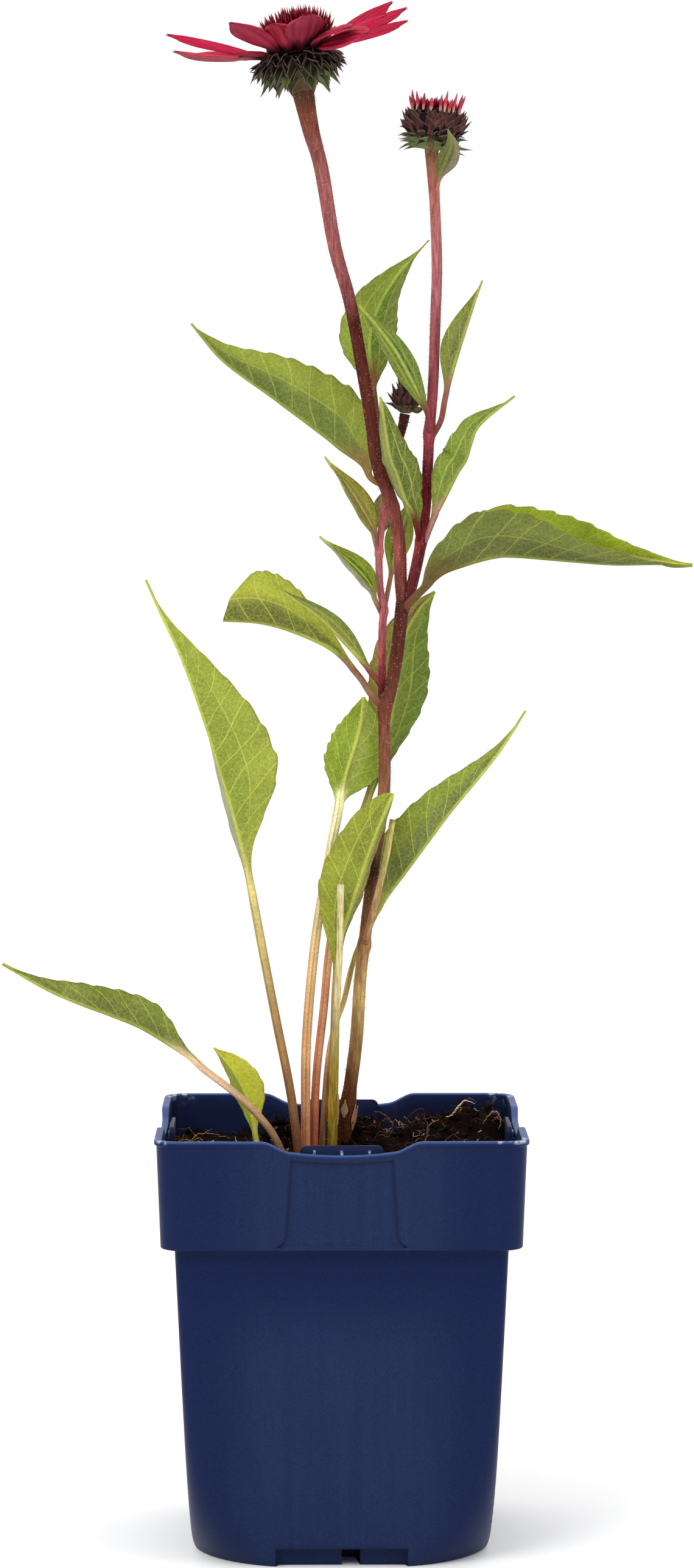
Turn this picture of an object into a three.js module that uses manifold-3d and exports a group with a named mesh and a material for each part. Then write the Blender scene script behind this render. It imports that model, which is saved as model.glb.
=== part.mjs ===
// A compact red coneflower (Echinacea) growing in a square plastic nursery pot.
// Millimetres, +Z up. The origin is the middle of the pot's flat floor, and the plant's open side
// faces -Y. Stems and leaves follow curves; every leaf, ray floret and bract is a thin solid blade.

import * as THREE from 'three';
import Module from 'manifold-3d';
import { mergeVertices } from 'three/addons/utils/BufferGeometryUtils.js';

const wasm = await Module();
wasm.setup();

// ---------------------------------------------------------------- driving dimensions

const GAP = 0.3;                    // clearance between neighbouring pieces

const POT_HEIGHT = 163;
const POT_RIM_HALF = 70;            // half the width over the rim lip
const POT_FLOOR = 2.2;
const POT_WALL = 1.6;
const POT_BASE_HALF = 57;
const POT_SHOULDER_HALF = 62.5;     // body half-width just under the collar
const POT_SHOULDER_Z = 121.3;
const COLLAR_BOTTOM_Z = 122;
const COLLAR_BOTTOM_HALF = 67.75;
const COLLAR_TOP_HALF = 69.3;
const COLLAR_WALL = 2.1;
const LIP_HEIGHT = 2;
const EDGE_RADIUS = 3.5;            // corner radius high on the body
const BASE_RADIUS = 44;             // corner radius at the floor
const RADIUS_DECAY = 20;            // height over which the corner radius falls away
const COLLAR_RADIUS = 8.6;
const CORNER_STEPS = 4;

const DIP_DEPTH = 4;                // fall of the rim to the middle of each side
const DIP_SAG = 1.2;
const DIP_HALF_TOP = 30;
const DIP_HALF_BOTTOM = 19;
const PANEL_DEPTH = 1;
const PANEL_HALF_TOP = 19;
const PANEL_HALF_BOTTOM = 22;
const PANEL_FLARE = 8;
const TAB_HALF = 15.6;
const TAB_TOP_Z = 161;
const TAB_HEIGHT = 17;
const TAB_THICK = 1.5;
const TAB_SLOT = 1.6;               // width of the label slot between tab and wall
const NOTCH_HALF = 25;
const NOTCH_HEIGHT = 7;
const NOTCH_DEPTH = 5;
const DRAIN_WIDTH = 7;
const DRAIN_LENGTH = 13;

const SOIL_LEVEL = 147;
const SOIL_RINGS = 6;
const HOLE_DEPTH_GAP = 0.5;

const STEM_SIDES = 8;

const BLADE_THICK = 0.7;
const FOLD_SHARE = 0.25;            // share of a blade over which it folds to its full angle
const TIP_SHARE = 0.12;             // share over which it opens flat again at the tip
const HEAD_TILT = 10;               // lean of the open flower, degrees
const RAY_PLATE_RADIUS = 14;
const RAY_ROOT_RADIUS = 12;
const RAY_PLATE_HALF = 0.7;

const COLORS = {
  pot: 0x1f2a52,
  soil: 0x1d120c,
  stem: 0x7a3834,
  leaf: 0x6f9a2f,
  youngLeaf: 0x9fbf3a,
  stub: 0xa9b76a,
  brownStub: 0x8a6242,
  ray: 0x9a1f48,
  disc: 0x5a1f1c,
  bract: 0x3a2b2e,
};

// ---------------------------------------------------------------- small helpers

const vec = (p) => new THREE.Vector3(p[0], p[1], p[2]);
const radians = THREE.MathUtils.degToRad;
const lerp = THREE.MathUtils.lerp;

function solid(geometry) {
  const bare = geometry.index ? geometry.toNonIndexed() : geometry.clone();
  bare.deleteAttribute('normal');
  bare.deleteAttribute('uv');
  const welded = mergeVertices(bare, 1e-4);
  return new wasm.Manifold(new wasm.Mesh({
    numProp: 3,
    vertProperties: new Float32Array(welded.attributes.position.array),
    triVerts: new Uint32Array(welded.index.array),
  }));
}

function geometryOf(manifold) {
  const mesh = manifold.getMesh();
  const geometry = new THREE.BufferGeometry();
  geometry.setAttribute('position', new THREE.BufferAttribute(mesh.vertProperties, 3));
  geometry.setIndex(new THREE.BufferAttribute(mesh.triVerts, 1));
  geometry.computeVertexNormals();
  return geometry;
}

const fuse = (solids) => solids.reduce((whole, piece) => whole.add(piece));
const cut = (whole, solids) => solids.reduce((left, piece) => left.subtract(piece), whole);

function box(low, high) {
  const size = vec(high).sub(vec(low));
  const centre = vec(high).add(vec(low)).multiplyScalar(0.5);
  const geometry = new THREE.BoxGeometry(size.x, size.y, size.z);
  return solid(geometry.translate(centre.x, centre.y, centre.z));
}

function fromTriangles(points, triangles) {
  const geometry = new THREE.BufferGeometry();
  const numbers = points.flatMap((p) => [p.x, p.y, p.z]);
  geometry.setAttribute('position', new THREE.Float32BufferAttribute(numbers, 3));
  geometry.setIndex(triangles);
  return geometry;
}

// Rings of equal length, stacked from the bottom up and closed by a fan at each end.
function ringSolid(rings, capPoints) {
  const count = rings[0].length;
  const points = [...rings.flat(), ...capPoints];
  const bottom = rings.length * count;
  const top = bottom + 1;
  const last = (rings.length - 1) * count;
  const triangles = [];
  for (let i = 0; i < count; i += 1) {
    const next = (i + 1) % count;
    for (let k = 0; k < rings.length - 1; k += 1) {
      const a = k * count + i;
      const b = k * count + next;
      triangles.push(a, b, b + count, a, b + count, a + count);
    }
    triangles.push(bottom, next, i, top, last + i, last + next);
  }
  return solid(fromTriangles(points, triangles));
}

// Radius that runs in straight lines through [fraction of the length, radius] pairs.
function radiusAlong(stops, u) {
  const k = Math.max(1, stops.findIndex((stop) => stop[0] >= u));
  const [u0, r0] = stops[k - 1];
  const [u1, r1] = stops[k];
  return lerp(r0, r1, (u - u0) / (u1 - u0));
}

// A cylinder bent along a curve, its radius following the stops.
function bentTube(path, stops, steps, grow = 0) {
  const curve = new THREE.CatmullRomCurve3(path.map(vec), false, 'catmullrom', 0.5);
  const frames = curve.computeFrenetFrames(steps, false);
  const tube = new THREE.CylinderGeometry(1, 1, 1, STEM_SIDES, steps);
  const position = tube.attributes.position;
  for (let i = 0; i < position.count; i += 1) {
    const u = position.getY(i) + 0.5;
    const k = Math.round(u * steps);
    const radius = radiusAlong(stops, u) + grow;
    const point = curve.getPointAt(u);
    point.addScaledVector(frames.normals[k], radius * position.getX(i));
    point.addScaledVector(frames.binormals[k], -radius * position.getZ(i));
    position.setXYZ(i, point.x, point.y, point.z);
  }
  return solid(tube);
}

// ---------------------------------------------------------------- blades

// Half-width profile of a blade from its base (0) to its tip (1): it swells to 1 at `peak` and narrows
// again, each way along half a cosine wave raised to the power `rise` or `fall`.
function bladeProfile(t, peak, rise, fall) {
  if (t < peak) return (0.5 - 0.5 * Math.cos((Math.PI * t) / peak)) ** rise;
  return (0.5 + 0.5 * Math.cos((Math.PI * (t - peak)) / (1 - peak))) ** fall;
}

// A thin closed blade along a curve. Each half leaves the midrib at its own angle, measured round the
// midrib from the direction `side` towards the direction `over`; angles run from base to tip, and
// the halves lie open at the stalk and at the tip.
function blade(form) {
  const { path, side, over, halves, width, stalk = 0.06, stalkHalf = 1.2, peak = 0.35,
    rise = 0.8, fall = 0.8, keep = 1, rib = 1.4, thick = BLADE_THICK, cup = 0, wave = 0, waves = 3,
    tooth = 0, teeth = 5, notch = [0, 0, 0], stalkRows = 2, bladeRows = 10, across = 2,
    open = 80 } = form;
  const curve = new THREE.CatmullRomCurve3(path.map(vec), false, 'catmullrom', 0.5);
  const upper = [];
  const lower = [];
  const rows = stalkRows + bladeRows;
  for (let i = 0; i <= rows; i += 1) {
    const s = i < stalkRows ? (stalk * i) / stalkRows : stalk + (1 - stalk) * ((i - stalkRows) / bladeRows);
    const t = Math.max(0, (s - stalk) / (1 - stalk));
    const spread = Math.min(1, t / FOLD_SHARE, (1 - t * keep) / TIP_SHARE);
    const angles = halves.map((half) => radians(lerp(half[0], half[1], t)));
    const middle = (angles[0] + angles[1]) / 2;
    const stalkAngle = radians(open);
    angles[0] = lerp(middle - stalkAngle, angles[0], spread);
    angles[1] = lerp(middle + stalkAngle, angles[1], spread);
    const margin = stalkHalf * (1 - 0.7 * t);
    const saw = tooth * ((t * teeth) % 1 > 0.55 ? 1 : 0) * Math.min(1, 4 * (1 - t));
    const ribDepth = lerp(rib, thick * 0.6, Math.min(1, t * 1.2));
    const upperRow = [];
    const lowerRow = [];
    for (let j = -across; j <= across; j += 1) {
      const half = j < 0 ? 0 : 1;
      const w = Math.abs(j) / across;
      const pull = 1 - notch[Math.abs(j)] * t ** 4;
      const point = curve.getPointAt(s * pull);
      const tangent = curve.getTangentAt(s * pull);
      const u = vec(side).addScaledVector(tangent, -tangent.dot(vec(side))).normalize();
      const v = new THREE.Vector3().crossVectors(tangent, u);
      if (v.dot(vec(over)) < 0) v.negate();
      const direction = (a) => u.clone().multiplyScalar(Math.cos(a)).addScaledVector(v, Math.sin(a));
      const turn = half === 0 ? 1 : -1;
      const angle = angles[half] + turn * radians(cup) * w * spread;
      const halfWidth = Array.isArray(width) ? width[half] : width;
      const reach = Math.hypot(margin, (halfWidth + saw) * bladeProfile(t * keep, peak, rise, fall));
      const normal = j === 0 ? direction(middle) : direction(angle + turn * Math.PI / 2);
      const ripple = wave * w * w * Math.sin(2 * Math.PI * waves * t + half * 2) * Math.min(1, 3 * t);
      point.addScaledVector(direction(angle), reach * w).addScaledVector(normal, ripple);
      const depth = j === 0 ? ribDepth : lerp(ribDepth, thick / 2, Math.min(1, w + spread / 2));
      upperRow.push(point.clone().addScaledVector(normal, thick / 2));
      lowerRow.push(point.clone().addScaledVector(normal, -depth));
    }
    upper.push(upperRow);
    lower.push(lowerRow);
  }
  return sheetSolid(upper, lower);
}

// Two matching grids of points joined round their edges, with the same diagonals on both faces.
function sheetSolid(upper, lower) {
  const rows = upper.length;
  const columns = upper[0].length;
  const points = [...upper.flat(), ...lower.flat()];
  const top = (i, j) => i * columns + j;
  const under = (i, j) => rows * columns + top(i, j);
  const triangles = [];
  const quad = (a, b, c, d) => triangles.push(a, b, c, a, c, d);
  for (let i = 0; i < rows - 1; i += 1) {
    for (let j = 0; j < columns - 1; j += 1) {
      quad(top(i, j), top(i, j + 1), top(i + 1, j + 1), top(i + 1, j));
      triangles.push(under(i, j), under(i + 1, j + 1), under(i, j + 1));
      triangles.push(under(i, j), under(i + 1, j), under(i + 1, j + 1));
    }
    quad(top(i, 0), top(i + 1, 0), under(i + 1, 0), under(i, 0));
    const end = columns - 1;
    quad(top(i, end), under(i, end), under(i + 1, end), top(i + 1, end));
  }
  const tip = rows - 1;
  for (let j = 0; j < columns - 1; j += 1) {
    quad(top(0, j), under(0, j), under(0, j + 1), top(0, j + 1));
    quad(top(tip, j), top(tip, j + 1), under(tip, j + 1), under(tip, j));
  }
  const sheet = solid(fromTriangles(points, triangles));
  if (sheet.volume() > 0) return sheet;
  for (let k = 0; k < triangles.length; k += 3) {
    [triangles[k], triangles[k + 1]] = [triangles[k + 1], triangles[k]];
  }
  return solid(fromTriangles(points, triangles));
}

// ---------------------------------------------------------------- pot

function squareRing(half, radius, z) {
  const ring = [];
  for (let q = 0; q < 4; q += 1) {
    const signX = q === 0 || q === 3 ? 1 : -1;
    const signY = q < 2 ? 1 : -1;
    for (let k = 0; k <= CORNER_STEPS; k += 1) {
      const angle = (q + k / CORNER_STEPS) * Math.PI / 2;
      ring.push(new THREE.Vector3(
        signX * (half - radius) + radius * Math.cos(angle),
        signY * (half - radius) + radius * Math.sin(angle),
        z,
      ));
    }
  }
  return ring;
}

const bodyHalf = (z) => lerp(POT_BASE_HALF, POT_SHOULDER_HALF, z / POT_SHOULDER_Z);
const bodyRadius = (z) => EDGE_RADIUS + (BASE_RADIUS - EDGE_RADIUS) * Math.exp(-z / RADIUS_DECAY);

function stackedSolid(levels) {
  const rings = levels.map(([z, half, radius]) => squareRing(half, radius, z));
  const ends = [levels[0][0], levels[levels.length - 1][0]].map((z) => new THREE.Vector3(0, 0, z));
  return ringSolid(rings, ends);
}

function potOutside() {
  const levels = [0, 5, 12, 22, 40, 70, POT_SHOULDER_Z].map((z) => [z, bodyHalf(z), bodyRadius(z)]);
  levels.push([COLLAR_BOTTOM_Z, COLLAR_BOTTOM_HALF, COLLAR_RADIUS]);
  levels.push([POT_HEIGHT - LIP_HEIGHT, COLLAR_TOP_HALF, COLLAR_RADIUS]);
  levels.push([POT_HEIGHT - LIP_HEIGHT, POT_RIM_HALF, COLLAR_RADIUS]);
  levels.push([POT_HEIGHT, POT_RIM_HALF, COLLAR_RADIUS]);
  return stackedSolid(levels);
}

// The room inside the pot, shrunk by `inset` on every side, up to the height `top`.
function potInside(inset, top) {
  const wall = POT_WALL + inset;
  const body = [POT_FLOOR + inset, 12, 22, 40, 70, POT_SHOULDER_Z + 2];
  const levels = body.map((z) => [z, bodyHalf(z) - wall, Math.max(1.5, bodyRadius(z) - wall)]);
  const inner = COLLAR_WALL + inset;
  const radius = COLLAR_RADIUS - inner;
  levels.push([COLLAR_BOTTOM_Z + 2 + inset, COLLAR_BOTTOM_HALF - inner, radius]);
  const slope = (COLLAR_TOP_HALF - COLLAR_BOTTOM_HALF) / (POT_HEIGHT - COLLAR_BOTTOM_Z);
  levels.push([top, COLLAR_BOTTOM_HALF + slope * (top - COLLAR_BOTTOM_Z) - inner, radius]);
  return levels;
}

// Shapes drawn in the X-Z plane and extruded along Y, from `near` to `far`.
function sidePrism(outline, near, far) {
  const shape = new THREE.Shape(outline.map(([x, z]) => new THREE.Vector2(x, z)));
  const geometry = new THREE.ExtrudeGeometry(shape, { depth: far - near, bevelEnabled: false, steps: 1 });
  geometry.rotateX(Math.PI / 2);
  geometry.translate(0, far, 0);
  return solid(geometry);
}

const fourSides = (piece) => [0, 90, 180, 270].map((angle) => piece.rotate([0, 0, angle]));

function dipOutline() {
  const outline = [[DIP_HALF_TOP, POT_HEIGHT + 1], [-DIP_HALF_TOP, POT_HEIGHT + 1]];
  const steps = 10;
  for (let k = 0; k <= steps; k += 1) {
    const x = -DIP_HALF_TOP + (2 * DIP_HALF_TOP * k) / steps;
    const fall = THREE.MathUtils.smoothstep(DIP_HALF_TOP - Math.abs(x), 0, DIP_HALF_TOP - DIP_HALF_BOTTOM);
    const sag = DIP_SAG * Math.max(0, 1 - (x / DIP_HALF_BOTTOM) ** 2);
    outline.push([x, POT_HEIGHT + 0.01 - DIP_DEPTH * fall - sag]);
  }
  return outline;
}

function panelOutline() {
  const top = POT_HEIGHT - DIP_DEPTH - DIP_SAG - 3;
  const low = COLLAR_BOTTOM_Z;
  const right = [];
  for (let k = 0; k <= 4; k += 1) {
    const angle = (k / 4) * Math.PI / 2;
    right.push([
      PANEL_HALF_BOTTOM + PANEL_FLARE * (1 - Math.sin(angle)),
      low + 1 + PANEL_FLARE * (1 - Math.cos(angle)),
    ]);
  }
  right.reverse();
  const outline = [[-PANEL_HALF_TOP, top], [-PANEL_HALF_BOTTOM, low + 1 + PANEL_FLARE]];
  const left = right.map(([x, z]) => [-x, z]);
  outline.push(...left.slice(1), [-PANEL_HALF_BOTTOM - PANEL_FLARE, low - 6]);
  outline.push([PANEL_HALF_BOTTOM + PANEL_FLARE, low - 6], ...right.reverse(), [PANEL_HALF_TOP, top]);
  return outline;
}

function labelTab() {
  const outer = -(COLLAR_TOP_HALF - COLLAR_WALL);
  const face = outer + TAB_SLOT;
  const low = TAB_TOP_Z - TAB_HEIGHT;
  const corner = 3;
  const outline = [[-TAB_HALF, low], [TAB_HALF, low], [TAB_HALF, TAB_TOP_Z - corner],
    [TAB_HALF - 0.9, TAB_TOP_Z - 0.9], [TAB_HALF - corner, TAB_TOP_Z], [corner - TAB_HALF, TAB_TOP_Z],
    [0.9 - TAB_HALF, TAB_TOP_Z - 0.9], [-TAB_HALF, TAB_TOP_Z - corner]];
  const pieces = [sidePrism(outline, face, face + TAB_THICK)];
  const webTop = POT_HEIGHT - DIP_DEPTH - DIP_SAG - 1;
  for (const x of [-TAB_HALF + 0.7, TAB_HALF - 0.7]) {
    pieces.push(box([x - 0.7, outer - 1, low], [x + 0.7, face + 0.5, webTop]));
  }
  for (const x of [-10.3, 0, 10.3]) {
    pieces.push(box([x - 0.5, face - 0.7, low + 6], [x + 0.5, face + 0.5, TAB_TOP_Z - 1.6]));
  }
  return fuse(pieces);
}

const notchBox = (grow) => box(
  [-NOTCH_HALF - grow, -POT_BASE_HALF - 5, -1],
  [NOTCH_HALF + grow, -POT_BASE_HALF + NOTCH_DEPTH + grow, NOTCH_HEIGHT + grow],
);

function makePot() {
  const room = stackedSolid(potInside(0, POT_HEIGHT + 1));
  const roomWithBosses = cut(room, fourSides(notchBox(POT_WALL)));
  let pot = potOutside().subtract(roomWithBosses);
  const dip = sidePrism(dipOutline(), -POT_RIM_HALF - 2, -POT_RIM_HALF + 3.4);
  const panel = sidePrism(panelOutline(), -POT_RIM_HALF - 6, -COLLAR_BOTTOM_HALF + PANEL_DEPTH - 0.7)
    .translate([0, POT_RIM_HALF, -COLLAR_BOTTOM_Z]);
  const slope = Math.atan2(COLLAR_TOP_HALF - COLLAR_BOTTOM_HALF, POT_HEIGHT - COLLAR_BOTTOM_Z);
  const leaningPanel = panel.rotate([THREE.MathUtils.radToDeg(slope), 0, 0])
    .translate([0, -POT_RIM_HALF, COLLAR_BOTTOM_Z]);
  const drain = box(
    [0, -POT_BASE_HALF + NOTCH_DEPTH - 1, -1],
    [DRAIN_WIDTH, -POT_BASE_HALF + NOTCH_DEPTH + DRAIN_LENGTH, NOTCH_HEIGHT - 1],
  );
  pot = cut(pot, [...fourSides(leaningPanel), ...fourSides(dip)]);
  pot = fuse([pot, ...fourSides(labelTab())]);
  return cut(pot, [...fourSides(notchBox(0)), ...fourSides(drain)]);
}

// ---------------------------------------------------------------- soil

const MOUNDS = [
  { at: [10, 4], rise: 16, spread: [10, 13] },
  { at: [50, 36], rise: 14, spread: [20, 17] },
  { at: [-55, -14], rise: 8, spread: [9, 12] },
  { at: [-23, 12], rise: 12, spread: [6, 8] },
  { at: [30, 22], rise: 7, spread: [10, 12] },
  { at: [-22, -26], rise: 5, spread: [16, 12] },
  { at: [26, -30], rise: 4, spread: [18, 14] },
];

function soilHeight(x, y) {
  const mound = MOUNDS.reduce((sum, m) => {
    const far = ((x - m.at[0]) / m.spread[0]) ** 2 + ((y - m.at[1]) / m.spread[1]) ** 2;
    return sum + m.rise * Math.exp(-far);
  }, 0);
  const lumps = 1.1 * Math.sin(0.33 * x + 1.3) * Math.cos(0.29 * y) + 0.8 * Math.sin(0.62 * x - 0.4 * y);
  return SOIL_LEVEL + mound + lumps;
}

function makeSoil(holes) {
  const levels = potInside(GAP, SOIL_LEVEL - 6);
  const rings = levels.map(([z, half, radius]) => squareRing(half, radius, z));
  const [, half, radius] = levels[levels.length - 1];
  for (let k = SOIL_RINGS; k > 0; k -= 1) {
    const scale = k / SOIL_RINGS;
    const ring = squareRing(half, radius, 0).map((p) => p.multiplyScalar(scale));
    ring.forEach((p) => p.setZ(soilHeight(p.x, p.y)));
    rings.push(ring);
  }
  const ends = [new THREE.Vector3(0, 0, levels[0][0]), new THREE.Vector3(0, 0, soilHeight(0, 0))];
  const outer = -(COLLAR_TOP_HALF - COLLAR_WALL);
  const tabRoom = box(
    [-TAB_HALF - GAP, outer - 4, TAB_TOP_Z - TAB_HEIGHT - GAP],
    [TAB_HALF + GAP, outer + TAB_SLOT + TAB_THICK + GAP, POT_HEIGHT + 20],
  );
  const cuts = [...fourSides(notchBox(POT_WALL + GAP)), ...fourSides(tabRoom), ...holes];
  return cut(ringSolid(rings, ends), cuts);
}

// A plain hole for whatever leaves the soil along the first stretch of `path`.
function soilHole(path, radius) {
  const foot = vec(path[0]);
  const way = vec(path[1]).sub(foot).normalize();
  const low = foot.clone().addScaledVector(way, -HOLE_DEPTH_GAP);
  const high = foot.clone().addScaledVector(way, 24);
  return bentTube([low.toArray(), high.toArray()], [[0, radius + GAP], [1, radius + GAP]], 1);
}

// ---------------------------------------------------------------- stems

// Each stem's centre line, its radius at shares of its length (swollen at the nodes) and its steps.
const STEMS = [
  {
    path: [[1.5, 0, 146], [2, 0, 161], [3, 0, 170], [6, 0, 193], [7.5, 0, 216], [9, 0, 229], [10.5, 0, 242],
      [13, 0, 262], [16.5, 0, 286], [17, 0, 303], [17, 0, 320], [19, 0, 327], [21.5, 0, 340], [24, 0, 362]],
    radii: [[0, 3.1], [0.1, 3.3], [0.13, 2.6], [0.37, 2.3], [0.385, 2.9], [0.4, 2.35], [0.79, 2.3],
      [0.81, 2.9], [0.84, 2.4], [1, 2.6]],
    steps: 21,
  },
  {
    path: [[24, 0, 358], [23, 0, 370], [22.5, 0, 384], [20.5, -0.5, 396], [17, -1, 407], [13.5, -2, 417],
      [11.8, -3, 430], [8.6, -4, 449], [3.6, -6, 476], [-2.2, -7, 497], [-7.2, -8, 526], [-11.2, -9, 541],
      [-14.4, -10, 556.7]],
    radii: [[0, 2.3], [0.24, 2.6], [0.26, 3], [0.29, 2.4], [0.6, 2.4], [0.88, 2.75], [0.95, 3.5], [1, 4.3]],
    steps: 18,
  },
  {
    path: [[24, 0, 358], [27, 0, 367], [30.5, 0, 383], [32.5, 1, 398], [33.5, 2, 415], [34, 2, 426],
      [35.5, 3, 445], [36.5, 4, 473], [37, 4, 490], [36.3, 5, 512], [35, 5, 534.5]],
    radii: [[0, 2.1], [0.14, 2.2], [0.16, 2.5], [0.19, 2.1], [0.37, 2], [0.39, 2.5], [0.42, 2], [0.9, 2],
      [1, 2.6]],
    steps: 15,
  },
  {
    path: [[17.5, 0, 318], [16, 1.5, 324], [16, 4, 331], [16, 6, 341], [16.2, 7, 352], [16.6, 7, 359],
      [15.2, 7.5, 368], [15, 8, 382], [17, 8.5, 397], [20.5, 11, 416], [24, 12, 429], [25, 12, 434]],
    radii: [[0, 1.6], [0.33, 1.5], [0.35, 2], [0.38, 1.4], [0.52, 1.4], [0.54, 1.9], [0.57, 1.35], [0.9, 1.5],
      [1, 2]],
    steps: 14,
  },
];

const makeStems = (grow) => fuse(STEMS.map((stem) => bentTube(stem.path, stem.radii, stem.steps, grow)));

// Cut remains of removed shoots: a pale green stem from the soil and a brown stalk on the main stem.
const STUBS = [
  {
    name: 'stub_green',
    path: [[-3.6, -12, 147], [-3, -14, 172], [-2, -16, 197], [-0.5, -17.5, 229], [0, -18, 254.5]],
    radii: [[0, 2], [0.3, 1.8], [0.5, 1.3], [1, 1.25]],
    steps: 7,
    color: COLORS.stub,
  },
  {
    name: 'stub_brown',
    path: [[9.6, 0, 229], [10, -4.4, 234], [13.2, -6.6, 246], [17.5, -6.6, 264], [20, -6, 278.5]],
    radii: [[0, 1.3], [1, 1.15]],
    steps: 6,
    color: COLORS.brownStub,
  },
];

// ---------------------------------------------------------------- leaves

const RIGHT = [1, 0, 0];
const LEFT = [-1, 0, 0];
const UP = [0, 0, 1];
const BACK = [0, 1, 0];

// Long-stalked leaves that rise from the soil. `halves` are the two half-blades' angles in degrees at
// the base and at the tip, `width` the widest reach of a half, `stalk` the stalk's share of the length.
const BASAL_LEAVES = [
  {
    name: 'leaf_tall_left',
    path: [[-15.5, -30, 147], [-19, -27, 174.5], [-24.5, -22, 202], [-29.5, -19, 227.5], [-34.5, -18, 254],
      [-39.5, -19, 276.5], [-46, -21, 299], [-52, -22, 318], [-60, -22, 340], [-67.5, -21, 356],
      [-74, -19, 370.5]],
    side: RIGHT, over: BACK, halves: [[0, -10], [140, 60]], width: [21.5, 17], stalk: 0.44, stalkHalf: 1.7,
    peak: 0.4, rise: 1.7, fall: 1.1, tooth: 0.7, teeth: 6, wave: 0.5, cup: 10,
  },
  {
    name: 'leaf_behind_left',
    path: [[-13.5, -24, 147], [-13.5, -20, 170], [-13, -13, 197], [-9.5, -7.5, 233.5], [-4, -5.5, 266],
      [-1.5, -4, 278.5], [1.5, -1.5, 294.5], [7, 2.5, 312.5], [9, 7, 325]],
    side: RIGHT, over: BACK, halves: [[32, 25], [205, 195]], width: [14, 10.5], stalk: 0.76, stalkHalf: 1.9,
    peak: 0.42, rise: 0.7, fall: 0.45, tooth: 0.6, teeth: 5, wave: 0.5, cup: -8,
  },
  {
    name: 'leaf_behind_stem',
    path: [[-10.5, -20, 147], [-9.5, -16, 179], [-6.5, -10, 206.5], [-4.5, -4, 226.5], [-1, 1, 247],
      [4.5, 6, 268], [11, 10, 286.5], [17, 13, 305], [21, 15, 323.5], [24, 16, 345], [30, 15, 358],
      [36.5, 11, 365.5]],
    side: RIGHT, over: BACK, halves: [[5, -15], [185, 215]], width: [12, 11], stalk: 0.58, stalkHalf: 1.6,
    peak: 0.6, rise: 1.5, fall: 0.5, tooth: 0.5, teeth: 6, wave: 0.4, cup: 12,
  },
  {
    name: 'leaf_front_folded',
    path: [[-4, -7, 147], [-3, -10, 191], [-2, -11.5, 218], [0.3, -12.5, 234.5], [4.4, -13.5, 248],
      [9.8, -14, 264], [14.3, -14, 276], [20, -13, 289]],
    side: LEFT, over: BACK, halves: [[0, 5], [150, 135]], width: [14.5, 4], stalk: 0.46, stalkHalf: 1.2,
    peak: 0.52, rise: 1.2, fall: 0.27, tooth: 0.4, teeth: 4, wave: 0.3, cup: 6,
  },
  {
    name: 'leaf_tall_right',
    path: [[-8, -16, 147], [-4.6, -4.5, 190], [1, 1, 209], [4.5, 5.4, 223], [8.5, 6.6, 231], [12.5, 6, 239],
      [18, 5, 248.5], [25.5, 4, 258.5], [32.5, 3, 268], [43, 1.5, 282], [53, 0, 294], [62, -1, 305.5],
      [71, -2, 320]],
    side: UP, over: BACK, halves: [[5, -5], [75, 60]], width: [15.5, 13], stalk: 0.46, stalkHalf: 1.2,
    peak: 0.3, rise: 0.8, fall: 0.9, tooth: 0.5, teeth: 6, wave: 0.4, cup: 8,
  },
  {
    name: 'leaf_low_left',
    path: [[-19.5, -33, 147], [-26, -34, 161.5], [-37.5, -37, 175], [-51.5, -40, 186.5], [-58.5, -42, 192.5],
      [-73.5, -46, 202.5], [-85.5, -49, 208], [-97, -52, 212.5], [-110.5, -54, 218.5], [-126.5, -56, 228]],
    side: UP, over: BACK, halves: [[5, -15], [60, 20]], width: [10, 11], stalk: 0.38, stalkHalf: 1.5,
    peak: 0.35, rise: 1.2, fall: 0.7, tooth: 0.5, teeth: 6, wave: 0.5, cup: 8,
  },
  {
    name: 'leaf_small_low',
    path: [[-30.5, -25, 147], [-33, -23.5, 161], [-36, -22.5, 174], [-41.5, -22, 184], [-48.5, -22, 192.5]],
    side: RIGHT, over: BACK, halves: [[5, -10], [150, 120]], width: [7.6, 7], stalk: 0.24, stalkHalf: 1.1,
    peak: 0.5, rise: 0.8, fall: 0.5, tooth: 0.3, teeth: 4, wave: 0.3, cup: 8, bladeRows: 7,
  },
];

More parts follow.
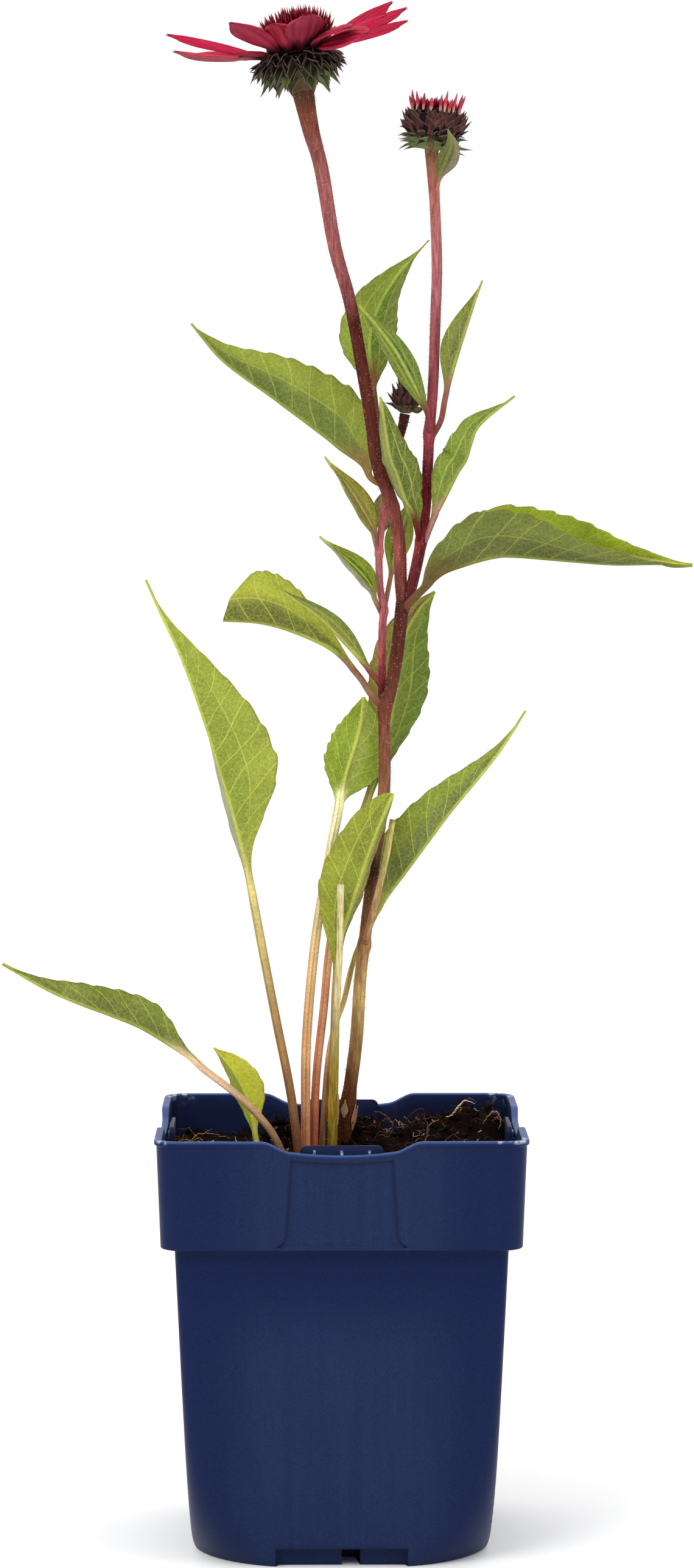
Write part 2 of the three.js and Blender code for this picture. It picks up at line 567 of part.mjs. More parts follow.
// Leaves that clasp the flowering stems.
const STEM_LEAVES = [
  {
    name: 'leaf_upper_left',
    path: [[17, -1, 406.5], [12, 1, 409.5], [8.5, 2, 415], [0, 3, 421], [-7, 3, 426.5], [-25.5, 3, 440],
      [-45, 0, 454], [-57, -3, 468]],
    side: UP, over: BACK, halves: [[0, -8], [75, 60]], width: [20, 16], stalk: 0.06, peak: 0.3, rise: 0.6,
    fall: 0.62, tooth: 0.8, teeth: 6, wave: 0.6, cup: 10,
  },
  {
    name: 'leaf_upper_back',
    path: [[17.5, 1, 407], [15, 5.5, 420], [14, 8, 434], [12.5, 10, 447], [11.5, 14, 462], [14.5, 16, 474],
      [22, 14.5, 487], [34, 9, 500.5]],
    side: RIGHT, over: BACK, halves: [[-15, -70], [200, 155]], width: [10.5, 12], stalk: 0.36, stalkHalf: 1,
    peak: 0.36, rise: 0.6, fall: 1.1, tooth: 0.4, teeth: 6, wave: 0.5, cup: 8,
  },
  {
    name: 'leaf_upper_front',
    path: [[34, 1, 427], [33, -4, 434], [30, -6, 440.5], [27, -7, 446.5], [20.5, -8, 458], [12.5, -8, 468.5],
      [6.5, -7.5, 475]],
    side: RIGHT, over: BACK, halves: [[-20, -10], [215, 200]], width: 5, stalk: 0.12, stalkHalf: 0.9,
    peak: 0.45, rise: 0.7, fall: 0.6, wave: 0.2, across: 1,
  },
  {
    name: 'leaf_front_upright',
    path: [[30.5, 0, 385], [29, -5.5, 391.5], [27, -8, 397.5], [24.5, -10, 401.5], [21.5, -12, 410.5],
      [18.5, -13, 418.5], [15, -11, 440]],
    side: RIGHT, over: BACK, halves: [[15, 15], [125, 120]], width: [9.5, 9], stalk: 0.1, stalkHalf: 1,
    peak: 0.42, rise: 0.7, fall: 0.5, tooth: 0.4, teeth: 5, wave: 0.3, cup: 10,
  },
  {
    name: 'leaf_bud_right',
    path: [[34.5, 2, 425], [38, 0, 431.5], [39.5, -1, 439.5], [41.5, -2, 447.5], [45.5, -3, 460],
      [54, -3, 484.5]],
    side: LEFT, over: BACK, halves: [[-15, -5], [75, 60]], width: [7, 6], stalk: 0.28, stalkHalf: 0.9,
    peak: 0.42, rise: 0.7, fall: 0.8, wave: 0.2, across: 1,
  },
  {
    name: 'leaf_right_mid',
    path: [[32, 0, 385], [35.5, -2, 394], [38.5, -3, 400], [44, -4, 410.5], [47.5, -5, 416], [50, -5, 423.5],
      [53.5, -5, 430], [66.5, -3, 440.5]],
    side: UP, over: BACK, halves: [[-10, -5], [60, 75]], width: [9.5, 7], stalk: 0.12, stalkHalf: 1,
    peak: 0.4, rise: 0.7, fall: 0.9, tooth: 0.3, teeth: 5, wave: 0.4, cup: 10,
  },
  {
    name: 'leaf_big_right',
    path: [[24.5, -0.5, 359.5], [30.5, -6, 366], [38, -8, 373], [46.5, -10, 376.5], [57.5, -12, 379.5],
      [66, -13, 380], [87, -15, 378], [104, -17, 376.5], [120.5, -18, 376.5], [133.5, -18, 376]],
    side: UP, over: BACK, halves: [[-5, -95], [62, -5]], width: [18.2, 21], stalk: 0.1, stalkHalf: 1.6,
    peak: 0.3, rise: 0.5, fall: 0.68, tooth: 0.8, teeth: 7, wave: 0.8, cup: 8,
  },
  {
    name: 'leaf_small_left_high',
    path: [[15.2, 7.5, 379], [12.5, 5, 389], [7.5, 3, 398], [2.5, 2, 406], [-6, 0, 417.5]],
    side: RIGHT, over: BACK, halves: [[-115, -110], [10, 5]], width: [5, 5.5], stalk: 0.12, stalkHalf: 0.8,
    peak: 0.4, wave: 0.2, across: 1,
  },
  {
    name: 'leaf_small_right_high',
    path: [[15, 8, 380], [15.5, 12, 387], [17.5, 15, 395.5], [18.5, 16.5, 401.5], [20, 15.5, 408.5]],
    side: RIGHT, over: BACK, halves: [[0, 0], [190, 190]], width: 5.3, stalk: 0.25, stalkHalf: 0.8,
    peak: 0.5, wave: 0.2, across: 1, bladeRows: 7,
  },
  {
    name: 'leaf_small_left_low',
    path: [[16.4, 7, 356.5], [13.5, 4, 362.5], [11, 2, 368.5], [6, 0, 374.5], [-8, -2, 387]],
    side: RIGHT, over: BACK, halves: [[-120, -110], [10, 5]], width: [4.5, 5], stalk: 0.15, stalkHalf: 0.8,
    peak: 0.4, wave: 0.2, across: 1,
  },
  {
    name: 'leaf_small_right_low',
    path: [[16.5, 7.5, 356.5], [19.5, 13, 371.5], [22, 15.5, 383.5], [25, 17, 394], [27.5, 17, 402.5]],
    side: RIGHT, over: BACK, halves: [[10, 0], [180, 190]], width: 5.3, stalk: 0.3, stalkHalf: 0.9,
    peak: 0.5, wave: 0.2, across: 1, bladeRows: 7,
  },
  {
    name: 'leaf_blunt_left',
    path: [[16.5, 0.3, 321.5], [12, -1.6, 326.5], [7, -3, 334], [-3, -6, 344], [-17, -8, 350.5],
      [-30, -9, 354], [-45, -9, 355]],
    side: UP, over: BACK, halves: [[0, -5], [40, 35]], width: [19.5, 21], stalk: 0.25, stalkHalf: 1.2,
    peak: 0.55, rise: 0.9, fall: 0.8, keep: 0.66, tooth: 0.6, teeth: 6, wave: 0.9, waves: 2.5, cup: 10,
    notch: [0, 0.03, 0.12],
  },
  {
    name: 'leaf_narrow_left',
    path: [[16, 2.5, 327], [14.5, -1, 331.5], [11, -5.5, 336], [6, -10, 342], [0, -13.5, 348.5],
      [-6, -15.5, 354.5], [-12.5, -16.5, 359.5], [-20, -16.5, 364.5], [-26, -15.5, 370]],
    side: UP, over: BACK, halves: [[-15, -20], [50, 40]], width: [5, 4.5], stalk: 0.15, stalkHalf: 0.9,
    peak: 0.45, wave: 0.2, across: 1,
  },
  {
    name: 'leaf_bud_bract',
    path: [[37, 4.5, 519.5], [38, -1, 525], [40, -6.5, 530], [41.8, -11.5, 535], [40.6, -13, 541]],
    side: RIGHT, over: BACK, halves: [[-5, -10], [165, 160]], width: [4.6, 3.4], stalk: 0.12, stalkHalf: 0.8,
    peak: 0.5, rise: 0.7, fall: 0.6, bladeRows: 6, across: 1,
  },
];

const leafSolid = (form) => blade({ stalkRows: form.stalk > 0.3 ? 5 : 2, bladeRows: 9, ...form });

// ---------------------------------------------------------------- flower heads

// A head's own frame: up along its leaning axis, right towards +X, back towards +Y.
function headFrame(centre, lean) {
  const up = new THREE.Vector3(Math.sin(radians(lean)), 0, Math.cos(radians(lean)));
  const right = new THREE.Vector3(Math.cos(radians(lean)), 0, -Math.sin(radians(lean)));
  const back = new THREE.Vector3(0, 1, 0);
  return new THREE.Matrix4().makeBasis(right, back, up).setPosition(vec(centre));
}

function lathe(profile, sides, frame) {
  const points = profile.map(([r, z]) => new THREE.Vector2(r, z));
  return solid(new THREE.LatheGeometry(points, sides).rotateX(Math.PI / 2).applyMatrix4(frame));
}

const around = (frame, azimuth, radius, height) => new THREE.Vector3(
  radius * Math.cos(radians(azimuth)),
  radius * Math.sin(radians(azimuth)),
  height,
).applyMatrix4(frame);

// A pointed scale: a thin cone bent along a line of [radius, height] points at one azimuth, widest at
// its middle. With 1 step it is a plain spike.
function scale(frame, azimuth, line, halfWidth, halfThick, sides = 4, steps = 2) {
  const curve = new THREE.CatmullRomCurve3(line.map(([r, h]) => around(frame, azimuth, r, h)));
  const across = around(frame, azimuth + 90, 1, 0).sub(around(frame, 0, 0, 0));
  const cone = new THREE.CylinderGeometry(0, 1, 1, sides, steps);
  const position = cone.attributes.position;
  for (let i = 0; i < position.count; i += 1) {
    const u = position.getY(i) + 0.5;
    const tangent = curve.getTangentAt(u);
    const inward = new THREE.Vector3().crossVectors(across, tangent).normalize();
    const swell = steps > 1 && u > 0 ? 2 : 0.75;
    const point = curve.getPointAt(u);
    point.addScaledVector(across, halfWidth * swell * position.getX(i));
    point.addScaledVector(inward, halfThick * swell * position.getZ(i));
    position.setXYZ(i, point.x, point.y, point.z);
  }
  return solid(cone);
}

const flower = headFrame([-16.7, -10, 569.4], -HEAD_TILT);
const disc = headFrame([-15.5, -10, 569.6], -HEAD_TILT);

// Ray florets of the open flower: [azimuth, lift in degrees, length, half-width, arch, roll in degrees].
const RAYS = [
  [180, 24, 39, 5.2, 0.5, -20], [152, 16, 32, 5, 1, 0], [197, 12, 37, 5.2, -1, 0],
  [215, 9, 16, 4, 0.5, 0], [238, 20.5, 34, 6, 1.5, 0], [257, 22, 24, 5.2, 2.4, 0],
  [278, 15.5, 34, 7.4, 2.2, 0], [298, 4, 33, 6.2, 2, 14], [305, -1, 36, 7, 1, 30],
  [320, 9, 34, 5.6, 1, 20], [8, 10, 33.2, 5.4, 0.5, 20], [20, 18, 38, 5.4, 1, 20],
  [30, 24.5, 38, 5.4, 1, 20], [60, 9, 36, 5.8, 1.5, 0], [87, 7, 36, 6, 1.5, 0], [114, 9, 36, 5.8, 1.5, 0],
];

function rayFloret([azimuth, lift, length, halfWidth, arch, roll]) {
  const reach = length * Math.cos(radians(lift));
  const rise = length * Math.sin(radians(lift));
  const at = (share, bend) => around(flower, azimuth, RAY_ROOT_RADIUS + reach * share,
    rise * share + bend).toArray();
  const origin = around(flower, 0, 0, 0);
  const across = around(flower, azimuth + 90, 1, 0).sub(origin).toArray();
  const up = around(flower, 0, 0, 1).sub(origin).toArray();
  return blade({
    path: [at(0, 0), at(0.35, arch), at(0.7, arch), at(1, 0)],
    side: across, over: up, halves: [[14 + roll, roll], [166 + roll, 180 + roll]], width: halfWidth,
    stalk: 0.08, stalkHalf: 1.8,
    peak: 0.55, rise: 0.32, fall: 0.25, keep: 0.93, rib: 0.5, notch: [0.05, 0, 0.09],
    stalkRows: 1, bladeRows: 3,
  });
}

function makeRays() {
  const plate = lathe([[0, -RAY_PLATE_HALF], [RAY_PLATE_RADIUS, -RAY_PLATE_HALF],
    [RAY_PLATE_RADIUS, RAY_PLATE_HALF], [0, RAY_PLATE_HALF]], 15, flower);
  return fuse([plate, ...RAYS.map(rayFloret)]);
}

// Spiky disc: stiff pointed scales stand out of a dome in rings of [count, radius, height, lean, length],
// each ring turned by the golden angle and each scale's length drawn at random from a fixed seed.
const GOLDEN_ANGLE = 137.5;

function spikyDome(frame, profile, rings, halfWidth) {
  let draw = 71;
  const random = () => {
    draw = (draw * 16807) % 2147483647;
    return draw / 2147483647;
  };
  const spikes = rings.flatMap(([count, radius, height, lean, length], k) => {
    const ring = [];
    for (let i = 0; i < count; i += 1) {
      const azimuth = (360 * (i + 0.35 * random())) / count + GOLDEN_ANGLE * k;
      const long = length * (0.8 + 0.4 * random());
      const tip = [radius + Math.sin(radians(lean)) * long, height + Math.cos(radians(lean)) * long];
      ring.push(scale(frame, azimuth, [[radius, height], tip], halfWidth, halfWidth, 3, 1));
    }
    return ring;
  });
  return fuse([lathe(profile, 14, frame), ...spikes]);
}

const makeDisc = () => spikyDome(
  disc,
  [[0, 1.1], [10.4, 1.1], [12.6, 4.4], [12.8, 7.2], [11.2, 9.8], [7, 11.8], [0, 12.6]],
  [[16, 12, 6.4, 42, 5], [14, 10.8, 8.9, 28, 5.6], [11, 8.2, 10.6, 16, 5.8], [7, 5, 11.5, 8, 5.8],
    [3, 2, 12, 3, 5.6]],
  1.1,
);

// Rows of bracts: how many, their line from root to tip as [radius, height], half-width and turn.
function bractRows(frame, rows) {
  return rows.flatMap(({ count, line, halfWidth, turn }) => {
    const ring = [];
    for (let i = 0; i < count; i += 1) {
      ring.push(scale(frame, turn + (360 * i) / count, line, halfWidth, 0.5));
    }
    return ring;
  });
}

function makeFlowerBracts() {
  const profile = [[0, -12.4], [4.7, -12.4], [7, -8], [12, -4], [13.6, -2], [13.4, -1], [0, -1]];
  const cup = lathe(profile, 14, flower);
  const rows = [
    { count: 15, line: [[11.6, -2.2], [16.2, -2], [20.2, -3.4]], halfWidth: 2, turn: 4 },
    { count: 14, line: [[11.2, -3.4], [15.8, -4.4], [19.4, -7]], halfWidth: 2.1, turn: 15 },
    { count: 12, line: [[10, -4.6], [14.6, -6.6], [18, -10.4]], halfWidth: 2.1, turn: 2 },
    { count: 10, line: [[7.8, -6.4], [12.6, -8.6], [15.8, -12.4]], halfWidth: 2.2, turn: 14 },
    { count: 7, line: [[5.6, -8.4], [10, -10.8], [13.6, -14.6]], halfWidth: 2.2, turn: 38.6 },
  ];
  return fuse([cup, ...bractRows(flower, rows)]);
}

const BUD_CUP_TOP = 12.6;
const bud = headFrame([35, 5, 535.2], 6);

function makeBudBracts() {
  const profile = [[0, 0], [2.7, 0], [7.4, 2.4], [10, 6], [10.8, 10], [10.2, BUD_CUP_TOP], [0, BUD_CUP_TOP]];
  const cup = lathe(profile, 12, bud);
  const rows = [
    { count: 7, line: [[2.8, 1.2], [9, 1.6], [15, 1]], halfWidth: 1.6, turn: 10 },
    { count: 8, line: [[6.8, 3], [11, 4.8], [14.4, 5.6]], halfWidth: 1.7, turn: 0 },
    { count: 9, line: [[8.8, 5.4], [11.6, 9], [13.8, 11]], halfWidth: 1.7, turn: 17 },
    { count: 9, line: [[9.6, 8.4], [11.2, 12.4], [12.8, 15.4]], halfWidth: 1.7, turn: 2 },
  ];
  return fuse([cup, ...bractRows(bud, rows)]);
}

function makeBudRays() {
  const low = BUD_CUP_TOP + GAP;
  const plate = lathe([[0, low], [9, low], [9, low + 1], [0, low + 1]], 10, bud);
  const line = [[8.6, low + 0.4], [9.6, low + 3.2], [10.8, low + 6]];
  return fuse([plate, ...bractRows(bud, [{ count: 13, line, halfWidth: 0.85, turn: 0 }])]);
}

const makeBudDisc = () => spikyDome(
  bud,
  [[0, BUD_CUP_TOP + 1.6], [6.8, BUD_CUP_TOP + 1.6], [6, BUD_CUP_TOP + 2.4], [0, BUD_CUP_TOP + 3]],
  [[12, 5.6, BUD_CUP_TOP + 1.9, 8, 2.6], [8, 3, BUD_CUP_TOP + 2.4, 3, 2.8]],
  0.8,
);

const smallBud = headFrame([25.1, 12, 434.4], 3);

function makeSmallBud() {
  const cup = lathe([[0, 0], [2, 0], [4.2, 2.6], [5, 6.4], [3.6, 9.4], [0, 10.4]], 10, smallBud);
  const rows = [
    { count: 6, line: [[2.4, 1.2], [6, 1.6], [8.6, 3.2]], halfWidth: 1.4, turn: 20 },
    { count: 7, line: [[3.6, 2.6], [6.7, 6], [8.4, 9]], halfWidth: 1.4, turn: 0 },
    { count: 6, line: [[4.2, 5], [5.9, 9], [6.6, 12.6]], halfWidth: 1.3, turn: 18 },
    { count: 5, line: [[2.6, 8.4], [3.2, 11.6], [3.8, 14.4]], halfWidth: 1, turn: 5 },
  ];
  return fuse([cup, ...bractRows(smallBud, rows)]);
}

// ---------------------------------------------------------------- the plant in its pot

const plant = new THREE.Group();

function addPiece(name, manifold, color, roughness = 0.6) {
  const material = new THREE.MeshStandardMaterial({ color, roughness, metalness: 0 });
  const mesh = new THREE.Mesh(geometryOf(manifold), material);
  mesh.name = name;
  plant.add(mesh);
}

const stemRoom = makeStems(GAP);
const stubSolid = (stub) => bentTube(stub.path, stub.radii, stub.steps);
const soilHoles = [
  soilHole(STEMS[0].path, 3.6),
  soilHole(STUBS[0].path, 2.1),
  ...BASAL_LEAVES.map((leaf) => soilHole(leaf.path, leaf.stalkHalf + 0.7)),
];

addPiece('pot', makePot(), COLORS.pot, 0.45);
addPiece('soil', makeSoil(soilHoles), COLORS.soil, 0.95);
addPiece('stems', makeStems(0), COLORS.stem);
for (const stub of STUBS) {
  addPiece(stub.name, stubSolid(stub).subtract(stemRoom), stub.color);
}
for (const leaf of BASAL_LEAVES) {
  addPiece(leaf.name, leafSolid(leaf), COLORS.leaf);
}
for (const leaf of STEM_LEAVES) {
  addPiece(leaf.name, leafSolid(leaf).subtract(stemRoom), COLORS.youngLeaf);
}
addPiece('bloom_bracts', makeFlowerBracts(), COLORS.bract);
addPiece('bloom_rays', makeRays(), COLORS.ray, 0.5);
addPiece('bloom_disc', makeDisc(), COLORS.disc);
addPiece('bud_bracts', makeBudBracts(), COLORS.bract);
addPiece('bud_rays', makeBudRays(), COLORS.ray, 0.5);
addPiece('bud_disc', makeBudDisc(), COLORS.disc);
addPiece('small_bud', makeSmallBud(), COLORS.bract);

export default plant;
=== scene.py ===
"""A compact red coneflower growing in a square nursery pot, dressed for rendering.

Everything is worked out in millimetres, +Z up, with the origin in the middle of the pot's floor, and
becomes metres when a mesh is made. Stems, leaves, florets and bracts are grids of points carried along
smooth centre lines; the pot is one profile carried round its square plan.
"""
import math

import bpy
import numpy as np
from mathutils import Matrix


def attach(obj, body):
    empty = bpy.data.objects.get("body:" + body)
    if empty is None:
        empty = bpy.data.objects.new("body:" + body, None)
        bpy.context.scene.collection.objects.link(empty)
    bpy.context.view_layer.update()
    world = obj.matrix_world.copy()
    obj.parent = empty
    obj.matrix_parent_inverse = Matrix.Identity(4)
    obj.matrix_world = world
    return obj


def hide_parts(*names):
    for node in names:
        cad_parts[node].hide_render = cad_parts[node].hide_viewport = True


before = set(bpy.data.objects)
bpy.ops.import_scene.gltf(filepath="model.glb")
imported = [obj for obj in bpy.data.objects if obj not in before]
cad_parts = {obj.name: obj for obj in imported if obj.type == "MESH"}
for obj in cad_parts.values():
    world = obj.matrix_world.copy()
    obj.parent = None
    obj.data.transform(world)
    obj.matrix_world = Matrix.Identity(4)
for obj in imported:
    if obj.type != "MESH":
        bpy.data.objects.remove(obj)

bl_info = {
    "name": "Potted Coneflower",
    "version": (1, 0, 0),
    "blender": (4, 5, 0),
    "location": "3D View > Sidebar > Coneflower",
    "description": "Builds a red coneflower in a square nursery pot",
    "category": "Add Mesh",
}

MM = 0.001
QUARTERS = ((1, 0), (0, 1), (-1, 0), (0, -1))   # cosine and sine of each quarter turn


# ---------------------------------------------------------------- numbers and curves

def shade(code):
    """Linear colour of an sRGB hex value, with full alpha."""
    parts = np.array([int(code[k:k + 2], 16) for k in (1, 3, 5)]) / 255
    linear = np.where(parts <= 0.04045, parts / 12.92, ((parts + 0.055) / 1.055) ** 2.4)
    return (*(float(v) for v in linear), 1.0)


def unit(v):
    """Vectors made one long."""
    return v / np.maximum(np.linalg.norm(v, axis=-1, keepdims=True), 1e-9)


def turns(count):
    """So many even angles round a circle."""
    return np.linspace(0, 2 * math.pi, count, endpoint=False)


def heading(degrees):
    """Cosine and sine of an angle in degrees."""
    return math.cos(math.radians(degrees)), math.sin(math.radians(degrees))


def step(low, high, x):
    """Smooth step from 0 at `low` to 1 at `high`: three times the square less twice the cube."""
    u = np.clip((x - low) / (high - low), 0, 1)
    return u * u * (3 - 2 * u)


def mix(a, b, share):
    """Straight blend from a to b."""
    return a + (b - a) * share


def blend(a, b, share):
    """Straight blend from colour a to colour b, point by point."""
    return a + (np.asarray(b) - a) * np.asarray(share)[..., None]


def dimmed(paint, factor):
    """Colours multiplied by a factor at each point, their alpha kept."""
    return np.concatenate([paint[..., :3] * np.asarray(factor)[..., None], paint[..., 3:]], axis=-1)


def turned(points, c, s):
    """Points turned about the upright axis by the angle whose cosine and sine are c and s."""
    x, y = points[..., 0], points[..., 1]
    return np.concatenate([np.stack([c * x - s * y, s * x + c * y], -1), points[..., 2:]], axis=-1)


def rough(x, y, size, seed=0):
    """Random height from -1 to 1 over a plane: fixed draws at the corners of `size` cells, joined
    by smooth steps."""
    a, b = np.broadcast_arrays(np.asarray(x, float) / size, np.asarray(y, float) / size)
    i, j = np.floor(a), np.floor(b)
    u, v = step(0, 1, a - i), step(0, 1, b - j)

    def corner(p, q):
        return np.sin(p * 127.1 + q * 311.7 + seed * 74.7) * 43758.5453 % 1

    near = mix(corner(i, j), corner(i + 1, j), u)
    far = mix(corner(i, j + 1), corner(i + 1, j + 1), u)
    return 2 * mix(near, far, v) - 1


def along(path, shares):
    """Points and directions on the curve through `path`, and its length. Between two points it is the
    cubic whose slopes are half the chords of the neighbours, the ends being mirrored; `shares` are
    shares of its length."""
    p = np.asarray(path, float)
    p = np.vstack([2 * p[:1] - p[1:2], p, 2 * p[-1:] - p[-2:-1]])
    a, b, c, d = p[:-3, None], p[1:-2, None], p[2:-1, None], p[3:, None]
    u = (np.arange(40) / 40)[None, :, None]
    out, back = (c - a) / 2, (d - b) / 2
    dense = b + out * u + (3 * (c - b) - 2 * out - back) * u**2 + (2 * (b - c) + out + back) * u**3
    dense = np.vstack([dense.reshape(-1, 3), p[-2:-1]])
    run = np.concatenate([[0], np.cumsum(np.linalg.norm(np.diff(dense, axis=0), axis=1))])
    slope = np.gradient(dense, run, axis=0)
    at = np.clip(shares, 0, 1) * run[-1]
    point = np.stack([np.interp(at, run, dense[:, k]) for k in range(3)], -1)
    way = unit(np.stack([np.interp(at, run, slope[:, k]) for k in range(3)], -1))
    return point, way, run[-1]


def upright(way, towards):
    """The direction `towards` with its part along `way` taken out, made one long."""
    towards = np.broadcast_to(np.asarray(towards, float), way.shape)
    return unit(towards - (towards * way).sum(-1, keepdims=True) * way)


# ---------------------------------------------------------------- meshes

class Skin:
    """Gathers closed surfaces in millimetres, with a value of each named kind at every point, and
    makes one smooth mesh of them."""

    def __init__(self, **widths):
        self.widths = widths
        self.points, self.values = [], {name: [] for name in widths}
        self.quads, self.fans, self.count = [], [], 0

    def tubes(self, rings, **values):
        """Closed tubes (tube, ring, place round the ring, xyz), each end shut by a fan round the
        mean of its last ring. All are turned over where their volume comes out negative."""
        tubes, rows, sides = rings.shape[:3]
        size = rows * sides + 2
        ends = rings[:, [0, -1]].mean(axis=2)
        points = np.concatenate([rings.reshape(tubes, -1, 3), ends], axis=1)
        r, c = np.meshgrid(np.arange(rows - 1), np.arange(sides), indexing="ij")
        n = (c + 1) % sides
        quads = np.stack([r * sides + c, r * sides + n, (r + 1) * sides + n, (r + 1) * sides + c], -1)
        quads = quads.reshape(-1, 4)
        c = np.arange(sides)
        n = (c + 1) % sides
        last = (rows - 1) * sides
        fans = np.concatenate([np.stack([n, c, 0 * c + size - 2], -1),
                               np.stack([last + c, last + n, 0 * c + size - 1], -1)])
        corners = np.concatenate([quads[:, [0, 1, 2]], quads[:, [0, 2, 3]], fans])
        a, b, d = (points[0, corners[:, k]] - points[0, 0] for k in range(3))
        if (a * np.cross(b, d)).sum() < 0:
            quads, fans = quads[:, ::-1], fans[:, ::-1]
        start = self.count + size * np.arange(tubes)[:, None, None]
        self.quads.append((quads[None] + start).reshape(-1, 4))
        self.fans.append((fans[None] + start).reshape(-1, 3))
        self.points.append(points.reshape(-1, 3))
        for name, width in self.widths.items():
            given = np.broadcast_to(values[name], (tubes, rows, sides, width))
            caps = given[:, [0, -1]].mean(axis=2)
            whole = np.concatenate([given.reshape(tubes, -1, width), caps], axis=1)
            self.values[name].append(whole.reshape(-1, width))
        self.count += tubes * size

    def grid(self, rings, **values):
        """One closed tube (ring, place round the ring, xyz)."""
        self.tubes(rings[None], **{name: np.asarray(value)[None] if np.ndim(value) > 1 else value
                                   for name, value in values.items()})

    def piece(self, name, material, slot, *nodes):
        """The mesh as an object that stands for the given CAD nodes."""
        quads, fans = np.concatenate(self.quads), np.concatenate(self.fans)
        mesh = bpy.data.meshes.new(name)
        mesh.vertices.add(self.count)
        mesh.vertices.foreach_set("co", (np.concatenate(self.points) * MM).ravel())
        corners = np.concatenate([quads.ravel(), fans.ravel()])
        mesh.loops.add(len(corners))
        mesh.loops.foreach_set("vertex_index", corners)
        mesh.polygons.add(len(quads) + len(fans))
        starts = np.concatenate([np.arange(len(quads)) * 4, len(quads) * 4 + np.arange(len(fans)) * 3])
        mesh.polygons.foreach_set("loop_start", starts)
        mesh.update(calc_edges=True)
        mesh.validate()
        mesh.shade_smooth()
        for kind, width in self.widths.items():
            sort, field = {3: ("FLOAT_VECTOR", "vector"), 4: ("FLOAT_COLOR", "color")}[width]
            layer = mesh.attributes.new(kind, sort, "POINT")
            layer.data.foreach_set(field, np.concatenate(self.values[kind]).ravel())
        mesh.materials.append(material)
        thing = bpy.data.objects.new(name, mesh)
        bpy.context.scene.collection.objects.link(thing)
        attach(thing, "root")
        if nodes:
            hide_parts(*nodes)
        return thing


RIBS = 5                                        # low ribs round a stem, and their share of its radius
RIB_DEPTH = 0.05


def tube_rings(path, stops, rows, sides):
    """Rings round a curve: the radius runs in straight lines through `stops` (share of the length,
    radius), and swells and sinks in a wave that makes the ribs and turns slowly along the stem."""
    share = np.linspace(0, 1, rows)
    point, way, length = along(path, share)
    across = upright(way, (1, 0, 0))
    deep = np.cross(way, across)
    radius = np.interp(share, [s for s, _ in stops], [r for _, r in stops])[:, None]
    turn = turns(sides)[None]
    radius = radius * (1 + RIB_DEPTH * np.cos(RIBS * turn + 3 * share[:, None]))
    ring = np.cos(turn)[..., None] * across[:, None] + np.sin(turn)[..., None] * deep[:, None]
    return point[:, None] + radius[..., None] * ring, share, length


def hoops(line, way, side, radius, sides):
    """Rings of points round lines (..., xyz) that run along `way`, the first point towards `side`."""
    turn = turns(sides)[:, None]
    deep = np.cross(way, side)
    ring = np.cos(turn) * side[..., None, :] + np.sin(turn) * deep[..., None, :]
    return line[..., None, :] + radius[..., None, None] * ring


def quills(root, tip, radius):
    """Many three-sided hairs from `root` to `tip` (hair, xyz), each a fifth as thick at its tip."""
    u = np.array([0.0, 1.0])
    way = unit(tip - root)[:, None]
    side = unit(np.cross(way, np.where(np.abs(way[..., 2:]) > 0.8, (1.0, 0, 0), (0, 0, 1.0))))
    line = root[:, None] + (tip - root)[:, None] * u[None, :, None]
    return hoops(line, way, side, radius * (1 - 0.8 * u)[None], 3)


# ---------------------------------------------------------------- shader nodes

LINEAR = {"interpolation_type": "LINEAR"}       # carries a range over to another in a straight line
SMOOTH = {"interpolation_type": "SMOOTHSTEP"}   # and in a smooth step
LAID = {"data_type": "RGBA"}                    # one colour laid on another by a share
STAINED = {"data_type": "RGBA", "blend_type": "MULTIPLY"}


def add(tree, kind, settings=None, *first, **named):
    """Adds a shader node, gives it its settings (one word alone is its operation), and fills its first
    inputs in order and others by name or by place (_6, _7) with a value, an output or a node's first
    live output."""
    node = tree.nodes.new("ShaderNode" + kind)
    if isinstance(settings, str):
        settings = {"operation": settings}
    for key, value in (settings or {}).items():
        if key == "stops":
            band = node.color_ramp.elements
            while len(band) < len(value):
                band.new(0.5)
            for mark, (place, code) in zip(band, value):
                mark.position, mark.color = place, shade(code)
        else:
            setattr(node, key, value)
    for key, value in [*enumerate(first), *named.items()]:
        if isinstance(key, str):
            key = int(key[1:]) if key[0] == "_" else key.replace("_", " ")
        socket = node.inputs[key]
        if isinstance(value, bpy.types.Node):
            value = next(output for output in value.outputs if output.enabled)
        if isinstance(value, bpy.types.NodeSocket):
            tree.links.new(value, socket)
        else:
            socket.default_value = value
    return node


def finish_of(name):
    """An empty material of that name and its node tree."""
    material = bpy.data.materials.new(name)
    material.use_nodes = True
    material.node_tree.nodes.clear()
    return material, material.node_tree


def painted(tree, name):
    """X, Y and Z of the painted values of that name."""
    values = add(tree, "Attribute", {"attribute_name": name}).outputs["Vector"]
    return add(tree, "SeparateXYZ", Vector=values).outputs


def close(tree, colour, gloss, shine, strength, depth, height, ior=1.5):
    """The end of every material: its colour, roughness and specular level on the surface, over a bump
    of that strength and depth in metres."""
    bump = add(tree, "Bump", Strength=strength, Distance=depth, Height=height)
    shader = add(tree, "BsdfPrincipled", Base_Color=colour, Roughness=gloss, IOR=ior,
                 Specular_IOR_Level=shine, Normal=bump)
    add(tree, "OutputMaterial", Surface=shader)


# ---------------------------------------------------------------- blades

